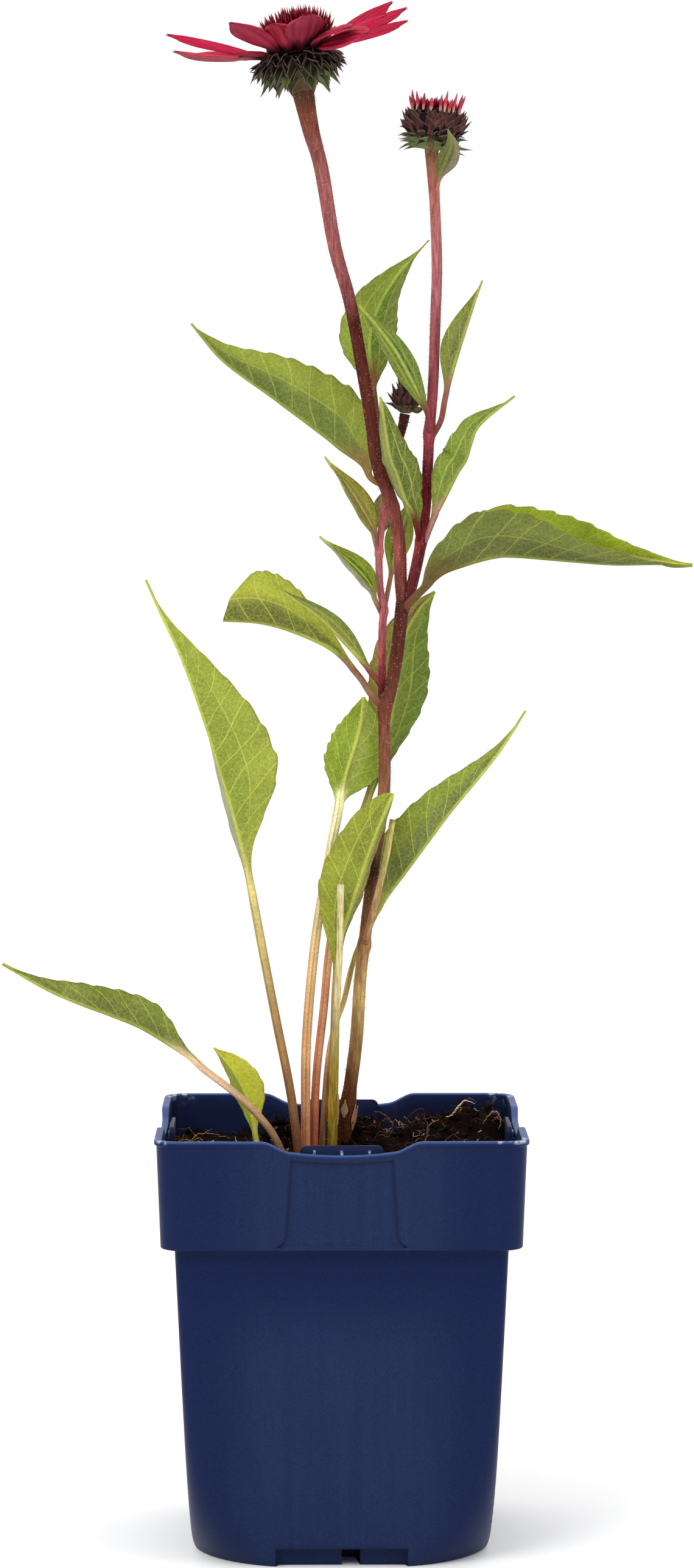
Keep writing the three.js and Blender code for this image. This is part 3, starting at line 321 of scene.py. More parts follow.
RIGHT = (1, 0, 0)
LEFT = (-1, 0, 0)
UP = (0, 0, 1)
BACK = (0, 1, 0)
PLAIN_BLADE = {
    "side": RIGHT, "over": BACK,
    "stalk": 0.06, "stalkHalf": 1.2, "peak": 0.35, "rise": 0.8, "fall": 0.8, "keep": 1, "rib": 1.4,
    "cup": 0, "wave": 0, "waves": 3, "tooth": 0, "teeth": 5, "notch": (0, 0, 0), "tip": 0.3,
}
STALK_OPEN = 80


def blade_outline(t, peak, rise, fall):
    """Half-width from base (0) to tip (1): half a cosine wave up to 1 at `peak`, raised to the power
    `rise`, and half a wave down again, raised to the power `fall`."""
    up = 0.5 - 0.5 * np.cos(np.pi * np.minimum(t / peak, 1))
    down = 0.5 + 0.5 * np.cos(np.pi * np.clip((t - peak) / (1 - peak), 0, 1))
    return np.where(t < peak, up**rise, down**fall)


def placed(at, shift=0.0):
    """The distances along and across a blade for its material, shifted so that no two look alike."""
    return np.stack([at["along"], at["across"] + shift, at["w"]], -1)


def blade(form, rows, columns, lift=None, thick=0.5, edge=0.2):
    """A thin closed blade along a curve. Each half leaves the midrib at its own angle, measured round
    it from `side` towards `over`, and folds up over the first quarter and flat again at the tip;
    the two faces lie apart by `thick` at the middle and `edge` at the margins, with a round midrib
    below. `lift` raises the tissue between veins. Gives the rings and where each point lies."""
    f = {**PLAIN_BLADE, **form}
    below = max(3, round(rows * f["stalk"] * 0.5))
    s = np.concatenate([np.linspace(0, f["stalk"], below, endpoint=False),
                        np.linspace(f["stalk"], 1, rows - below)])[:, None]
    t = np.clip((s - f["stalk"]) / (1 - f["stalk"]), 0, 1)
    j = np.arange(-columns, columns + 1)[None]
    w, half = (np.abs(j) / columns) ** 1.1, (j >= 0).astype(int)
    turn = np.where(half == 0, 1.0, -1.0)
    spread = np.minimum(1, np.minimum(t / 0.25, (1 - t * f["keep"]) / 0.12))
    base, tip = np.radians(np.array(f["halves"], float)).T
    angles = mix(base[None], tip[None], t)
    middle = angles.mean(axis=1, keepdims=True)
    angles = mix(middle + math.radians(STALK_OPEN) * np.array([[-1, 1]]), angles, spread)
    angle = angles[:, half[0]] + turn * math.radians(f["cup"]) * w * spread
    pull = 1 - np.interp(w, (0, 0.5, 1), f["notch"]) * t**4
    point, way, length = along(f["path"], s * pull)
    u = upright(way, f["side"])
    v = np.cross(way, u)
    v = np.where((v * np.asarray(f["over"])).sum(-1, keepdims=True) < 0, -v, v)

    def towards(a):
        return np.cos(a)[..., None] * u + np.sin(a)[..., None] * v

    saw = (t * f["teeth"] * 2) % 1
    saw = f["tooth"] * 1.3 * (step(0, 0.8, saw) - step(0.8, 1, saw)) * np.minimum(1, 5 * (1 - t)) * w**3
    widest = np.broadcast_to(f["width"], 2)[half]
    swell = blade_outline(t * f["keep"], f["peak"], f["rise"], f["fall"])
    reach = np.hypot(f["stalkHalf"] * (1 - (1 - f["tip"]) * t), (widest + saw) * swell)
    face = step(0, 0.3, w)
    normal = unit(blend(towards(middle + 0 * w), towards(angle + turn * math.pi / 2), face + 0 * t))
    ripple = f["wave"] * w**2 * np.sin(2 * np.pi * f["waves"] * t + half * 2) * np.minimum(1, 3 * t)
    where = {"t": t + 0 * w, "w": w + 0 * t, "half": half + 0 * t, "across": -turn * w * reach,
             "along": s * length + 0 * w}
    if lift:
        ripple = ripple + lift(where) * step(0, 0.08, t) * np.minimum(1, 6 * (1 - t))
    point = point + towards(angle) * (reach * w)[..., None] + normal * ripple[..., None]
    fine = mix(f["tip"] / PLAIN_BLADE["tip"], 1, np.minimum(1, 4 * (1 - t)))
    gap = mix(thick, edge, w**2) * fine
    ridge = mix(f["rib"], thick * 0.5, np.minimum(1, 1.2 * t)) * np.exp(-(w * reach / 0.9) ** 2) * fine
    stem = f["rib"] * np.sqrt(np.clip(1 - w**2, 0, 1))
    depth = mix(ridge, stem, 1 - step(0, 0.1, t)) + gap / 2
    upper, lower = point + normal * (gap / 2)[..., None], point - normal * depth[..., None]
    rings = np.concatenate([upper, lower[:, ::-1]], axis=1)
    where["under"] = np.zeros_like(where["t"])
    both = {key: np.concatenate([value, value[:, ::-1]], axis=1) for key, value in where.items()}
    both["under"] = np.concatenate([where["under"], where["under"] + 1], axis=1)
    return rings, both


# ---------------------------------------------------------------- pot

POT_HEIGHT = 163
FLOOR = 2.2
WALL = 1.6
BASE_HALF = 57
SHOULDER_HALF = 62.5
SHOULDER_Z = 121.3
COLLAR_Z = 122
COLLAR_BOTTOM = 67.75
COLLAR_TOP = 69.3
COLLAR_WALL = 2.1
COLLAR_RADIUS = 8.6
COLLAR_START = 122.5                            # where its flat wall starts
LIP = 2.4                                       # and how far below the rim it ends
RIM_DIP = 4
RIM_SAG = 1.2
DIP_HALF = 19
DIP_START = 30
WALL_RISE = 33.5                                # height of that wall below the dip
PANEL_DEPTH = 1.1
PANEL_TOP = 2.9                                 # how far below the rim the panels end
PANEL_HALF = 21
PANEL_TAPER = 2.4
PANEL_ROUND = 5
NOTCH_HALF = 25
NOTCH_HEIGHT = 7
NOTCH_AT = 52
DRAIN_WIDTH = 7
DRAIN_HEIGHT = 6
DRAIN_AT = 39
TAB_HALF = 15.6
TAB_TOP = 161
TAB_LOW = 144
TAB_FACE = 65.6
TAB_WEB = 14.9
TAB_RIB = 10.3
SHOULDER = (                                    # half-width, corner radius, height, up to the collar
    (62.6, 3.6, 121.1), (62.9, 3.9, 121.35), (67.0, 8.1, 121.75), (67.5, 8.5, 121.9), (67.75, 8.6, 122.25),
    (67.77, 8.6, 122.5),
)
RIM = (                                         # distance out from the collar's top, drop below the rim
    (0.0, 2.25), (0.35, 2.1), (0.62, 1.8), (0.7, 1.4), (0.7, 0.5), (0.5, 0.15), (0.2, 0.0), (-0.9, 0.0),
    (-1.6, 0.05), (-1.95, 0.25), (-2.1, 0.7),
)


def body_half(z):
    """Half-width of the tapering body, in a straight line from floor to shoulder."""
    return BASE_HALF + (SHOULDER_HALF - BASE_HALF) * z / SHOULDER_Z


def body_radius(z):
    """Corner radius of the body, which falls away from the floor by e-folds of 20 mm."""
    return 3.5 + 40.5 * np.exp(-z / 20)


def square_ring(half, radius, across, corner):
    """Plan of a rounded square, one turn anticlockwise from the middle of the front. Half a side runs
    through fixed distances `across` from its middle, then in `corner` equal steps to the diagonal.
    Gives x, y and the signed distance from the middle of the side that each point belongs to."""
    half, radius = np.asarray(half, float)[:, None], np.asarray(radius, float)[:, None]
    flat = half - radius
    x = np.minimum(across, half) + 0 * half
    arc = flat + radius * np.arcsin(np.clip((x - flat) / radius, 0, 1))
    run = np.where(x < flat, x, arc)
    full = flat + radius * math.pi / 4
    rest = run[:, -1:] + (full - run[:, -1:]) * np.arange(1, corner + 1) / corner
    run = np.concatenate([run, rest], axis=1)
    bend = np.clip((run - flat) / radius, 0, math.pi / 4)
    x = np.minimum(run, flat) + radius * np.sin(bend)
    y = -flat - radius * np.cos(bend)
    right = np.stack([x, y], -1)
    left = np.stack([-x, y], -1)[:, ::-1]
    side = np.concatenate([left[:, 1:-1], right], axis=1)
    along_side = np.concatenate([-x[:, ::-1][:, 1:-1], x], axis=1)
    quarters = [turned(side, c, s) for c, s in QUARTERS]
    return np.concatenate(quarters, axis=1), np.tile(along_side, (1, 4))


def rim_height(x):
    """The rim falls in a smooth step towards the middle of each side, then sags a little in an arc."""
    x = np.abs(x)
    sag = RIM_SAG * np.clip(1 - (x / DIP_HALF) ** 2, 0, 1)
    return POT_HEIGHT - RIM_DIP * (1 - step(DIP_HALF, DIP_START, x)) - sag


def panel_half(z):
    """Half-width of each side's middle panel, which narrows upwards in a straight line and flares out
    on a round at its foot."""
    foot = np.clip(COLLAR_Z + 6 - z, 0, PANEL_ROUND)
    narrowing = PANEL_TAPER * np.clip((z - COLLAR_Z - 6) / 30, 0, 1)
    return PANEL_HALF - narrowing + PANEL_ROUND - np.sqrt(PANEL_ROUND**2 - foot**2)


def hollow(ring, x, z, live, grow=0.0):
    """Presses the notch and the drain slot of each side into rings of the plan, where `live` allows;
    `grow` keeps a wall's thickness off them."""
    for limit, low, high, tall in ((NOTCH_AT, -NOTCH_HALF, NOTCH_HALF, NOTCH_HEIGHT),
                                   (DRAIN_AT, 0.05, DRAIN_WIDTH, DRAIN_HEIGHT)):
        within = live & (x > low - grow) & (x < high + grow) & (z < tall + grow)
        stop = limit - grow + 0 * z
        ring = np.where(within[..., None], np.clip(ring, -stop[..., None], stop[..., None]), ring)
    return ring


# Kinds of row in the pot's profile, and what its height means: a height in the tapering body, a share
# of the way up the collar's wall, a drop below the rim, and a share of the way out over the floor.
BODY, WALLS, EDGE, MIDDLE = range(4)


def pot_surface(skin):
    """The pot's shell: one profile from the middle of the floor up the outside, over the rim and down
    the inside, carried round the rounded square; panel, dip, notch and drain slot move its points."""
    fine = np.unique(np.concatenate([
        [0, 0.1], np.arange(1, 41, 1.5), NOTCH_HALF + np.array([-0.12, 0.12]),
        DRAIN_WIDTH + np.array([-0.1, 0.1]), PANEL_HALF + np.array([-0.5, -0.25, -0.12, 0.12, 0.25, 0.5])]))
    low = np.concatenate([[0.0, 0.5, 1.2], np.linspace(2, 5.9, 6), [6.1, 6.9, 7.1, 9],
                          np.linspace(12, 119, 26), [120.6]])
    rows = []                                   # half-width, corner radius, height, kind, inside

    def row(half, radius, z, kind=BODY, inside=0):
        rows.append((half, radius, z, kind, inside))

    for share in (0.1, 0.5):
        row(share, 0, 0, MIDDLE)
    row(body_half(0) - 0.5, body_radius(0) - 0.5, 0)
    for z in low[1:]:
        row(body_half(z), body_radius(z), z)
    for shoulder in SHOULDER:
        row(*shoulder)
    for share in np.concatenate([np.linspace(0.02, 0.94, 30), [0.97, 0.978, 0.986, 0.994]]):
        row(COLLAR_BOTTOM, COLLAR_RADIUS, share, WALLS)
    for out, drop in RIM:
        row(out, COLLAR_RADIUS, drop, EDGE)
    inner = COLLAR_BOTTOM - COLLAR_WALL
    for share in np.linspace(0.93, 0.1, 16):
        row(inner, COLLAR_RADIUS - COLLAR_WALL, share, WALLS, 1)
    row(inner, 6.5, 124.6)
    row(SHOULDER_HALF - WALL + 0.3, 2.2, 123.6)
    for z in (*np.linspace(120, 12, 20), 9.2, 8.8, 7.7, 7.5, 5, FLOOR):
        row(body_half(z) - WALL, max(1.5, body_radius(z) - WALL), z, BODY, 1)
    for share in (0.5, 0.1):
        row(share, 0, FLOOR, MIDDLE, 1)

    half, radius, level, kind, inside = np.array(rows, float).T
    slope = (COLLAR_TOP - COLLAR_BOTTOM) / (POT_HEIGHT - COLLAR_Z)
    wall_half = np.where(kind == EDGE, COLLAR_TOP + half, half)
    wall_half = np.where(kind == MIDDLE, BASE_HALF - WALL, wall_half)
    radius = np.where(kind == EDGE, radius + np.minimum(half, 0), radius)
    radius = np.where(kind == MIDDLE, body_radius(0) - WALL, radius)
    collar = np.isin(kind, (WALLS, EDGE))
    about = np.where(kind == EDGE, POT_HEIGHT, level)
    about = np.where(kind == WALLS, COLLAR_START + level * WALL_RISE, about)
    bend = np.where(collar, panel_half(about) - PANEL_HALF, 0)[:, None]
    bend = bend * np.interp(fine, (0, 20, 22, 40), (0, 1, 1, 0))
    ring, x = square_ring(wall_half, radius, fine + bend, 22)
    ring = ring * np.where(kind == MIDDLE, half, 1)[:, None, None]
    top = rim_height(x)
    level, kind, inside, half = level[:, None], kind[:, None], inside[:, None], half[:, None]
    z = np.where(kind == EDGE, top - level, level + 0 * x)
    z = np.where(kind == WALLS, COLLAR_START + (top - LIP - COLLAR_START) * level, z)
    panel = (np.abs(x) < panel_half(z)) & (top - z > PANEL_TOP)
    grow = np.where(kind == WALLS, slope * (z - COLLAR_Z) - PANEL_DEPTH * panel * (inside == 0), 0)
    dip = 1 - step(22, 31, np.abs(x))
    grow = grow + np.where(kind == EDGE, slope * (top - POT_HEIGHT) - 0.25 * dip * (half > 0), 0)
    size = np.max(np.abs(ring), axis=-1, keepdims=True)
    ring = ring * (1 + grow[..., None] / size)
    outside = hollow(ring, x, z, half > 40)
    ring = np.where(inside[..., None] > 0, hollow(ring, x, z, half > 40, WALL), outside)
    points = np.concatenate([ring, z[..., None]], axis=-1)
    # The top millimetre of the rim carries a painted highlight and the white rubs.
    high = step(1.0, 0.1, top - z) * (kind == EDGE)
    corner = step(40, 62, np.abs(x))
    # Painted shade along the sides of each panel and in the line under the rim band.
    flank = np.clip(1.2 - np.abs(np.abs(x) - panel_half(z)) / 0.6, 0, 1) * (top - z > 2.2)
    roof = np.clip(1.2 - np.abs(top - z - 3) / 0.5, 0, 1) * (np.abs(x) < panel_half(z))
    crease_shade_mask = np.where((kind == WALLS) & (inside == 0), np.maximum(flank, roof), 0)
    # X holds the rim's painted highlight and rub rows less the painted crease shade, Y the inner walls
    # painted darker as shade, Z the corners where rubs fall.
    wear = np.stack([high - crease_shade_mask, inside + 0 * z, corner], -1)
    skin.grid(points, wear=wear)


def block(skin, low, high, round_off, **values):
    """A plate standing across Y with rounded outline corners and softened edges: four rounded
    rectangles one behind the other."""
    low, high = np.array(low, float), np.array(high, float)
    turn = turns(48) + math.pi / 48
    soft = min(0.3, (high[1] - low[1]) / 3)
    rings = []
    for y, inset in ((low[1], soft), (low[1] + soft, 0), (high[1] - soft, 0), (high[1], soft)):
        half = (high - low)[[0, 2]] / 2 - inset
        radius = min(round_off, half.min() * 0.98)
        x = np.sign(np.cos(turn)) * (half[0] - radius) + radius * np.cos(turn)
        z = np.sign(np.sin(turn)) * (half[1] - radius) + radius * np.sin(turn)
        middle = (low + high) / 2
        rings.append(np.stack([middle[0] + x, y + 0 * x, middle[2] + z], -1))
    skin.grid(np.array(rings), **values)


def label_tabs(skin):
    """A ribbed label tab inside each side, held off the wall by a web at each end; the front one is
    built and turned by quarters."""
    one = Skin(wear=3)
    outer = COLLAR_TOP - COLLAR_WALL
    # Tabs and webs take the inner walls' painted shade; the ribs take most of it, with part of the rim's
    # painted highlight and its rubs.
    inside = (0.0, 1.0, 0.0)
    block(one, (-TAB_HALF, -TAB_FACE, TAB_LOW), (TAB_HALF, -TAB_FACE + 1.5, TAB_TOP), 2.6, wear=inside)
    for x in (-TAB_WEB, TAB_WEB):
        block(one, (x - 0.7, 0.1 - outer, TAB_LOW), (x + 0.7, -TAB_FACE + 0.6, 156.8), 0.3, wear=inside)
    for x in (-TAB_RIB, 0, TAB_RIB):
        block(one, (x - 0.55, -TAB_FACE - 0.7, 150), (x + 0.55, -TAB_FACE + 0.5, 159.4), 0.5,
              wear=(0.9, 0.8, 1.0))
    points = np.concatenate(one.points)
    for c, s in QUARTERS:
        skin.points.append(turned(points, c, s))
        skin.quads += [quads + skin.count for quads in one.quads]
        skin.fans += [fans + skin.count for fans in one.fans]
        skin.values["wear"] += one.values["wear"]
        skin.count += len(points)


def moulded_plastic(looks):
    """Moulded polypropylene: a fine matt grain from the mould, a soft broad gloss, faint upright draw
    marks, a painted highlight along the rim's thin edge and white rubs at its corners, painted shade in
    the panels' creases and on the inner walls and label tabs, and painted shade as a darker plastic
    below the collar and towards the corners, the middle of the walls being left lighter."""
    material, tree = finish_of("Moulded Polypropylene")
    here = add(tree, "TexCoord").outputs["Object"]
    wear = painted(tree, "wear")
    cloud = add(tree, "TexNoise", Vector=here, Scale=22, Detail=3)
    grain = add(tree, "TexNoise", Vector=here, Scale=1400, Detail=2)            # 0.7 mm mould grain
    tall = add(tree, "Mapping", Vector=here, Scale=(1, 1, 0.03))
    drawn = add(tree, "TexNoise", Vector=tall, Scale=330, Detail=2)             # 3 mm wide draw marks
    shift = add(tree, "Math", "ADD", cloud, drawn)
    body = add(tree, "MapRange", SMOOTH, shift, 0.5, 1.5)
    body = add(tree, "Mix", LAID, body, _6=(*looks.plastic, 1), _7=(*looks.plastic_light, 1))
    place = add(tree, "SeparateXYZ", Vector=here).outputs
    wide = add(tree, "Math", "ABSOLUTE", place["X"])
    deep = add(tree, "Math", "ABSOLUTE", place["Y"])
    aside = add(tree, "Math", "MINIMUM", wide, deep)
    # Painted shade: the walls turn to the darker shade colour towards the corners and below the collar, and
    # keep the lighter colour in their middle.
    flat = add(tree, "MapRange", SMOOTH, aside, 0.026, 0.05, 1.0, 0.25)
    under = add(tree, "MapRange", SMOOTH, place["Z"], 0.074, 0.116, 1.0, 0.0)
    collar = add(tree, "MapRange", LINEAR, place["Z"], 0.1215, 0.1222)
    under = add(tree, "Math", "MAXIMUM", under, collar)
    painted_light_share = add(tree, "Math", "MULTIPLY", flat, under)
    body = add(tree, "Mix", LAID, painted_light_share, _6=(*looks.plastic_shade, 1), _7=body)
    speck = add(tree, "MapRange", LINEAR, grain, 0.35, 0.65, 0.86, 1.14)
    body = add(tree, "Mix", STAINED, 1.0, _6=body, _7=speck)
    # Painted shade in the panels' creases, laid on in the inner walls' darker colour.
    crease_shade = add(tree, "MapRange", LINEAR, wear["X"], -0.9, -0.1, 0.75, 0.0)
    body = add(tree, "Mix", LAID, crease_shade, _6=body, _7=(*looks.plastic_inside_shade, 1))
    # Painted shade: the inner walls and label tabs get a darker copy of the plastic.
    inner = add(tree, "Mix", LAID, wear["Y"], _6=body, _7=(*looks.plastic_inside_shade, 1))
    # Painted highlight along the rim's thin top edge.
    thin = add(tree, "MapRange", SMOOTH, wear["X"], 0.15, 0.9, 0.0, 0.55)
    edge = add(tree, "Mix", LAID, thin, _6=inner, _7=(*looks.edge, 1))
    rub = add(tree, "TexNoise", Vector=here, Scale=300, Detail=4)
    rub = add(tree, "MapRange", SMOOTH, rub, 0.5, 0.62, 0.0, 0.8)
    rub = add(tree, "Math", "MULTIPLY", rub, wear["X"])
    bend = add(tree, "MapRange", SMOOTH, wear["Z"], 0.8, 1.0)
    rub = add(tree, "Math", "MULTIPLY", rub, bend)
    colour = add(tree, "Mix", LAID, rub, _6=edge, _7=(*looks.scuff, 1))
    gloss = add(tree, "MapRange", LINEAR, shift, 0.6, 1.4, 0.38, 0.44)
    close(tree, colour, gloss, 0.09, 0.12, 0.00025, grain, 1.49)
    return material


# ---------------------------------------------------------------- soil

SOIL_LEVEL = 147
SOIL_WALL = 66.2
PEAT_FLOOR = 2.6
PEAT_GAP = 0.3                                  # between the compost and the pot's wall
PEAT_RADIUS = 6.2                               # its corners inside the collar
SLOT_FACE = 63.6                                # where it stops behind a label tab
SCATTER = 63                                    # how far from the middle crumbs and fibres start
STRAND_REACH = 64.5                             # and how far a fibre may run
MOUNDS = (                                      # middle, rise, spread along X and Y
    ((10, 4), 16, (10, 13)), ((50, 36), 14, (20, 17)), ((-55, -14), 8, (9, 12)),
    ((-23, 12), 12, (6, 8)), ((30, 22), 7, (10, 12)), ((-22, -26), 5, (16, 12)),
    ((26, -30), 4, (18, 14)),
)


def soil_height(x, y):
    """Level of the compost: a mound (a bell curve) at each place in the table, two crossed waves, and
    lumps of three sizes from fixed draws."""
    high = sum(rise * np.exp(-((x - at[0]) / spread[0]) ** 2 - ((y - at[1]) / spread[1]) ** 2)
               for at, rise, spread in MOUNDS)
    waves = 1.1 * np.sin(0.33 * x + 1.3) * np.cos(0.29 * y) + 0.8 * np.sin(0.62 * x - 0.4 * y)
    lumps = 1.3 * rough(x, y, 6.5, 1) + 0.9 * rough(x, y, 2.9, 2) + 0.5 * rough(x, y, 1.4, 3)
    return SOIL_LEVEL + high + waves + lumps * (0.8 + 0.04 * high)


def peat_surface(skin):
    """The block of compost: rings down the pot's inside and across its floor, and above them rings of
    the same square drawn in to the middle, lifted to the soil's height. Behind each label tab the edge
    is drawn in to leave the slot open."""
    fine = np.arange(0, 33, 1.0)
    heights = (PEAT_FLOOR, 7.8, 8, 8.8, 9, 12, 22, 40, 70, 100, 122.8)
    levels = [(0.1, PEAT_FLOOR), (0.6, PEAT_FLOOR)] + [(1, z) for z in heights]
    rings = []
    for share, z in levels:
        radius = max(1.5, body_radius(z) - WALL - PEAT_GAP)
        ring, x = square_ring([body_half(z) - WALL - PEAT_GAP], [radius], fine, 12)
        ring = hollow(ring, x, z + 0 * x, x < 99, WALL + PEAT_GAP)
        rings.append(np.concatenate([ring[0] * share, np.full((ring.shape[1], 1), z)], axis=1))
    ring, x = square_ring([65.35], [PEAT_RADIUS], fine, 12)
    inside = np.abs(x[0]) < TAB_HALF + 0.5
    for z in (125.2, 136):
        rings.append(np.concatenate([ring[0], np.full((ring.shape[1], 1), z)], axis=1))
    ring, x = square_ring([SOIL_WALL], [PEAT_RADIUS], fine, 12)
    kept = np.where(inside[:, None], np.clip(ring[0], -SLOT_FACE, SLOT_FACE), ring[0])
    rings.append(np.concatenate([kept, np.full((len(kept), 1), 138.0)], axis=1))
    for share in np.concatenate([[1], np.linspace(0.985, 0.02, 74)]):
        flat = kept * share
        rings.append(np.column_stack([flat, soil_height(flat[:, 0], flat[:, 1])]))
    skin.grid(np.array(rings), tone=(0.0, 0.0, 0.0))


def scattered(draw, count):
    """Random places on the compost, thicker on the mounds: an even share, and a share spread round
    the mounds' middles."""
    spot = draw.uniform(-SCATTER, SCATTER, (count, 2))
    near = draw.integers(0, len(MOUNDS), count)
    middle = np.array([m[0] for m in MOUNDS])[near]
    spread = np.array([m[2] for m in MOUNDS])[near]
    heaped = middle + draw.normal(0, 0.62, (count, 2)) * spread
    spot = np.where(draw.random((count, 1)) < 0.6, heaped, spot)
    spot = np.clip(spot, -SCATTER, SCATTER)
    return np.column_stack([spot, soil_height(spot[:, 0], spot[:, 1])])


def crumbs(skin, draw, count):
    """Crumbs of peat: rough little balls of four rings, each squashed and dented at random."""
    at = scattered(draw, count)
    size = draw.gamma(2.2, 0.42, count).clip(0.3, 2.6)
    polar = np.array([0.4, 1.15, 1.95, 2.7])
    turn = turns(6)
    ball = np.stack([np.sin(polar)[:, None] * np.cos(turn), np.sin(polar)[:, None] * np.sin(turn),
                     np.cos(polar)[:, None] + 0 * turn], -1)
    dent = draw.uniform(0.45, 1.35, (count, 4, 6, 1))
    squash = draw.uniform(0.5, 1.3, (count, 1, 1, 3))
    points = at[:, None, None] + size[:, None, None, None] * ball * dent * squash
    tone = np.stack([draw.random(count), np.zeros(count), np.zeros(count)], -1)[:, None, None]
    skin.tubes(points, tone=tone)


def strands(skin, line, radius, tone, sides=4):
    """Thin round strands along rows of points, thickest a third of the way along."""
    way = unit(np.gradient(line, axis=1))
    u = np.linspace(-0.8, 0.97, line.shape[1])
    thick = radius[:, None] * np.sqrt(np.clip(1 - u**2, 0.05, 1))[None]
    points = hoops(line, way, unit(np.cross(way, (0.2, 0.1, 1))), thick, sides)
    skin.tubes(points, tone=np.stack([tone, np.ones(len(tone)), np.zeros(len(tone))], -1)[:, None, None])


def fibres(skin, draw, count, reach=(2.4, 2.4), radius=(0.06, 0.2), climb=0.5):
    """Peat fibres and fine roots: strands that set off over the compost, lift by `climb` and drop again,
    and curl by a random amount that each keeps and a random turn at every step."""
    at = scattered(draw, count)
    aim = draw.uniform(0, 2 * math.pi, count)
    curl = draw.normal(0, 0.35, count)
    length = draw.gamma(*reach, count).clip(1.5, 20)
    steps = 8
    points = [at + np.array([0, 0, -0.4])]
    for k in range(steps):
        aim = aim + curl + draw.normal(0, 0.45, count)
        rise = draw.normal(climb if k < 5 else -0.3, 0.6, count)
        way = unit(np.stack([np.cos(aim), np.sin(aim), rise], -1))
        points.append(points[-1] + way * (length / steps)[:, None])
    line = np.stack(points, axis=1)
    line[..., :2] = np.clip(line[..., :2], -STRAND_REACH, STRAND_REACH)
    line[..., 2] = np.maximum(line[..., 2], soil_height(line[..., 0], line[..., 1]) - 0.3)
    strands(skin, line, draw.uniform(*radius, count), draw.random(count))


ROOTS = (                                       # roots that stand clear: path, radius and tone
    (((40, 30, 158), (44, 26, 160), (46, 25, 163), (49, 26, 165.5), (53, 28, 164)), 0.34, 0.97),
    (((56, 24, 157), (58, 22, 160), (61, 22, 162), (63, 23, 158), (62, 24, 154)), 0.3, 0.92),
    (((20, 2, 156), (20, -2, 160), (17, -4, 164), (13, -3, 165.5)), 0.28, 0.8),
    (((26, 20, 158), (27, 16, 161), (31, 15, 164), (34, 16, 161)), 0.26, 0.7),
    (((31, -2, 150), (33, -4, 155), (34, -5, 160), (38, -4, 162.5)), 0.28, 0.86),
    (((-60, -20, 151), (-57, -18, 157), (-52, -17, 159), (-46, -16, 158)), 0.24, 0.9),
    (((-50, -20, 152), (-54, -22, 156), (-60, -22, 157), (-64, -20, 155)), 0.24, 0.84),
    (((-28, 8, 158), (-30, 4, 161), (-27, 2, 164), (-24, 2, 165)), 0.3, 0.3),
)


def root(skin, draw, path, radius, tone):
    """One bare root: a thin crooked strand through the points of its path, with two side rootlets."""
    line, _, _ = along(path, np.linspace(0, 1, 26))
    line = line + draw.normal(0, 0.16, line.shape)
    strands(skin, line[None], np.array([radius]), np.array([tone]), 6)
    for k in draw.integers(5, 20, 2):
        aim = draw.normal(0, 1, 3)
        twig = line[k] + np.linspace(0, 1, 7)[:, None] * unit(aim)[None] * draw.uniform(2, 5)
        twig = twig[None] + draw.normal(0, 0.2, (1, 7, 3))
        strands(skin, twig, np.array([radius * 0.45]), np.array([tone]))


CHIPS = (                                       # middle, half sizes, turn and lean in degrees, tone
    ((-52, -22, 154.5), (4.2, 1.7, 0.9), 20, 24, 0.86), ((-31, -30, 149.5), (3.0, 1.2, 0.8), 120, 8, 0.35),
    ((22, -34, 150.5), (3.4, 1.0, 0.8), 60, -12, 0.3),
)


def wood_chip(skin, at, size, turn, lean, tone):
    """A split chip of wood: a four-sided bar whose faces bow and whose ends are cut askew."""
    u = np.linspace(-1, 1, 7)[:, None]
    corner = np.array([45, 60, 120, 135, 225, 240, 300, 315])[None] * math.pi / 180
    x = u * size[0] + 0.25 * size[1] * np.cos(corner)
    y = size[1] * np.cos(corner) * (1 - 0.2 * u**2) + 0.1 * size[1] * np.sin(5 * u)
    z = size[2] * np.sin(corner) * (1 - 0.3 * u**2)
    c, s = heading(turn)
    k, h = heading(lean)
    x, z = k * x - h * z, h * x + k * z
    x, y = c * x - s * y, s * x + c * y
    skin.grid(np.stack([x + at[0], y + at[1], z + at[2]], -1), tone=(tone, 1.0, 0.0))


def compost():
    """Damp peat compost: near-black brown grains with a faint wet gleam in patches."""
    material, tree = finish_of("Damp Peat Compost")
    here = add(tree, "TexCoord").outputs["Object"]
    lump = add(tree, "TexNoise", Vector=here, Scale=240, Detail=6, Roughness=0.7)
    colour = add(tree, "ValToRGB", {"stops": ((0.32, "#050202"), (0.55, "#0f0706"), (0.74, "#20120c"))},
                 Fac=lump)
    grit = add(tree, "TexNoise", Vector=here, Scale=900, Detail=4)
    gloss = add(tree, "MapRange", LINEAR, lump, 0.0, 1.0, 0.95, 0.6)
    close(tree, colour, gloss, 0.04, 0.8, 0.0008, grit)
    return material


def litter():
    """Peat crumbs, coir strands and dead roots: dark crumbs, and strands from brown to straw."""
    material, tree = finish_of("Coir And Root Litter")
    tone = painted(tree, "tone")
    crumb = add(tree, "ValToRGB", {"stops": ((0, "#060303"), (0.6, "#130907"), (1, "#2c1a12"))},
                Fac=tone["X"])
    strand = add(tree, "ValToRGB", {"stops": ((0, "#120806"), (0.45, "#30160e"), (0.75, "#5c3220"),
                                              (0.92, "#a87e58"), (1, "#eadcc2"))}, Fac=tone["X"])
    colour = add(tree, "Mix", LAID, tone["Y"], _6=crumb, _7=strand)
    here = add(tree, "TexCoord").outputs["Object"]
    grit = add(tree, "TexNoise", Vector=here, Scale=1100, Detail=3)
    dirty = add(tree, "MapRange", LINEAR, grit, 0.35, 0.6, 0.55, 1.05)
    colour = add(tree, "Mix", STAINED, 1.0, _6=colour, _7=dirty)
    close(tree, colour, 0.85, 0.05, 0.5, 0.0004, grit)
    return material
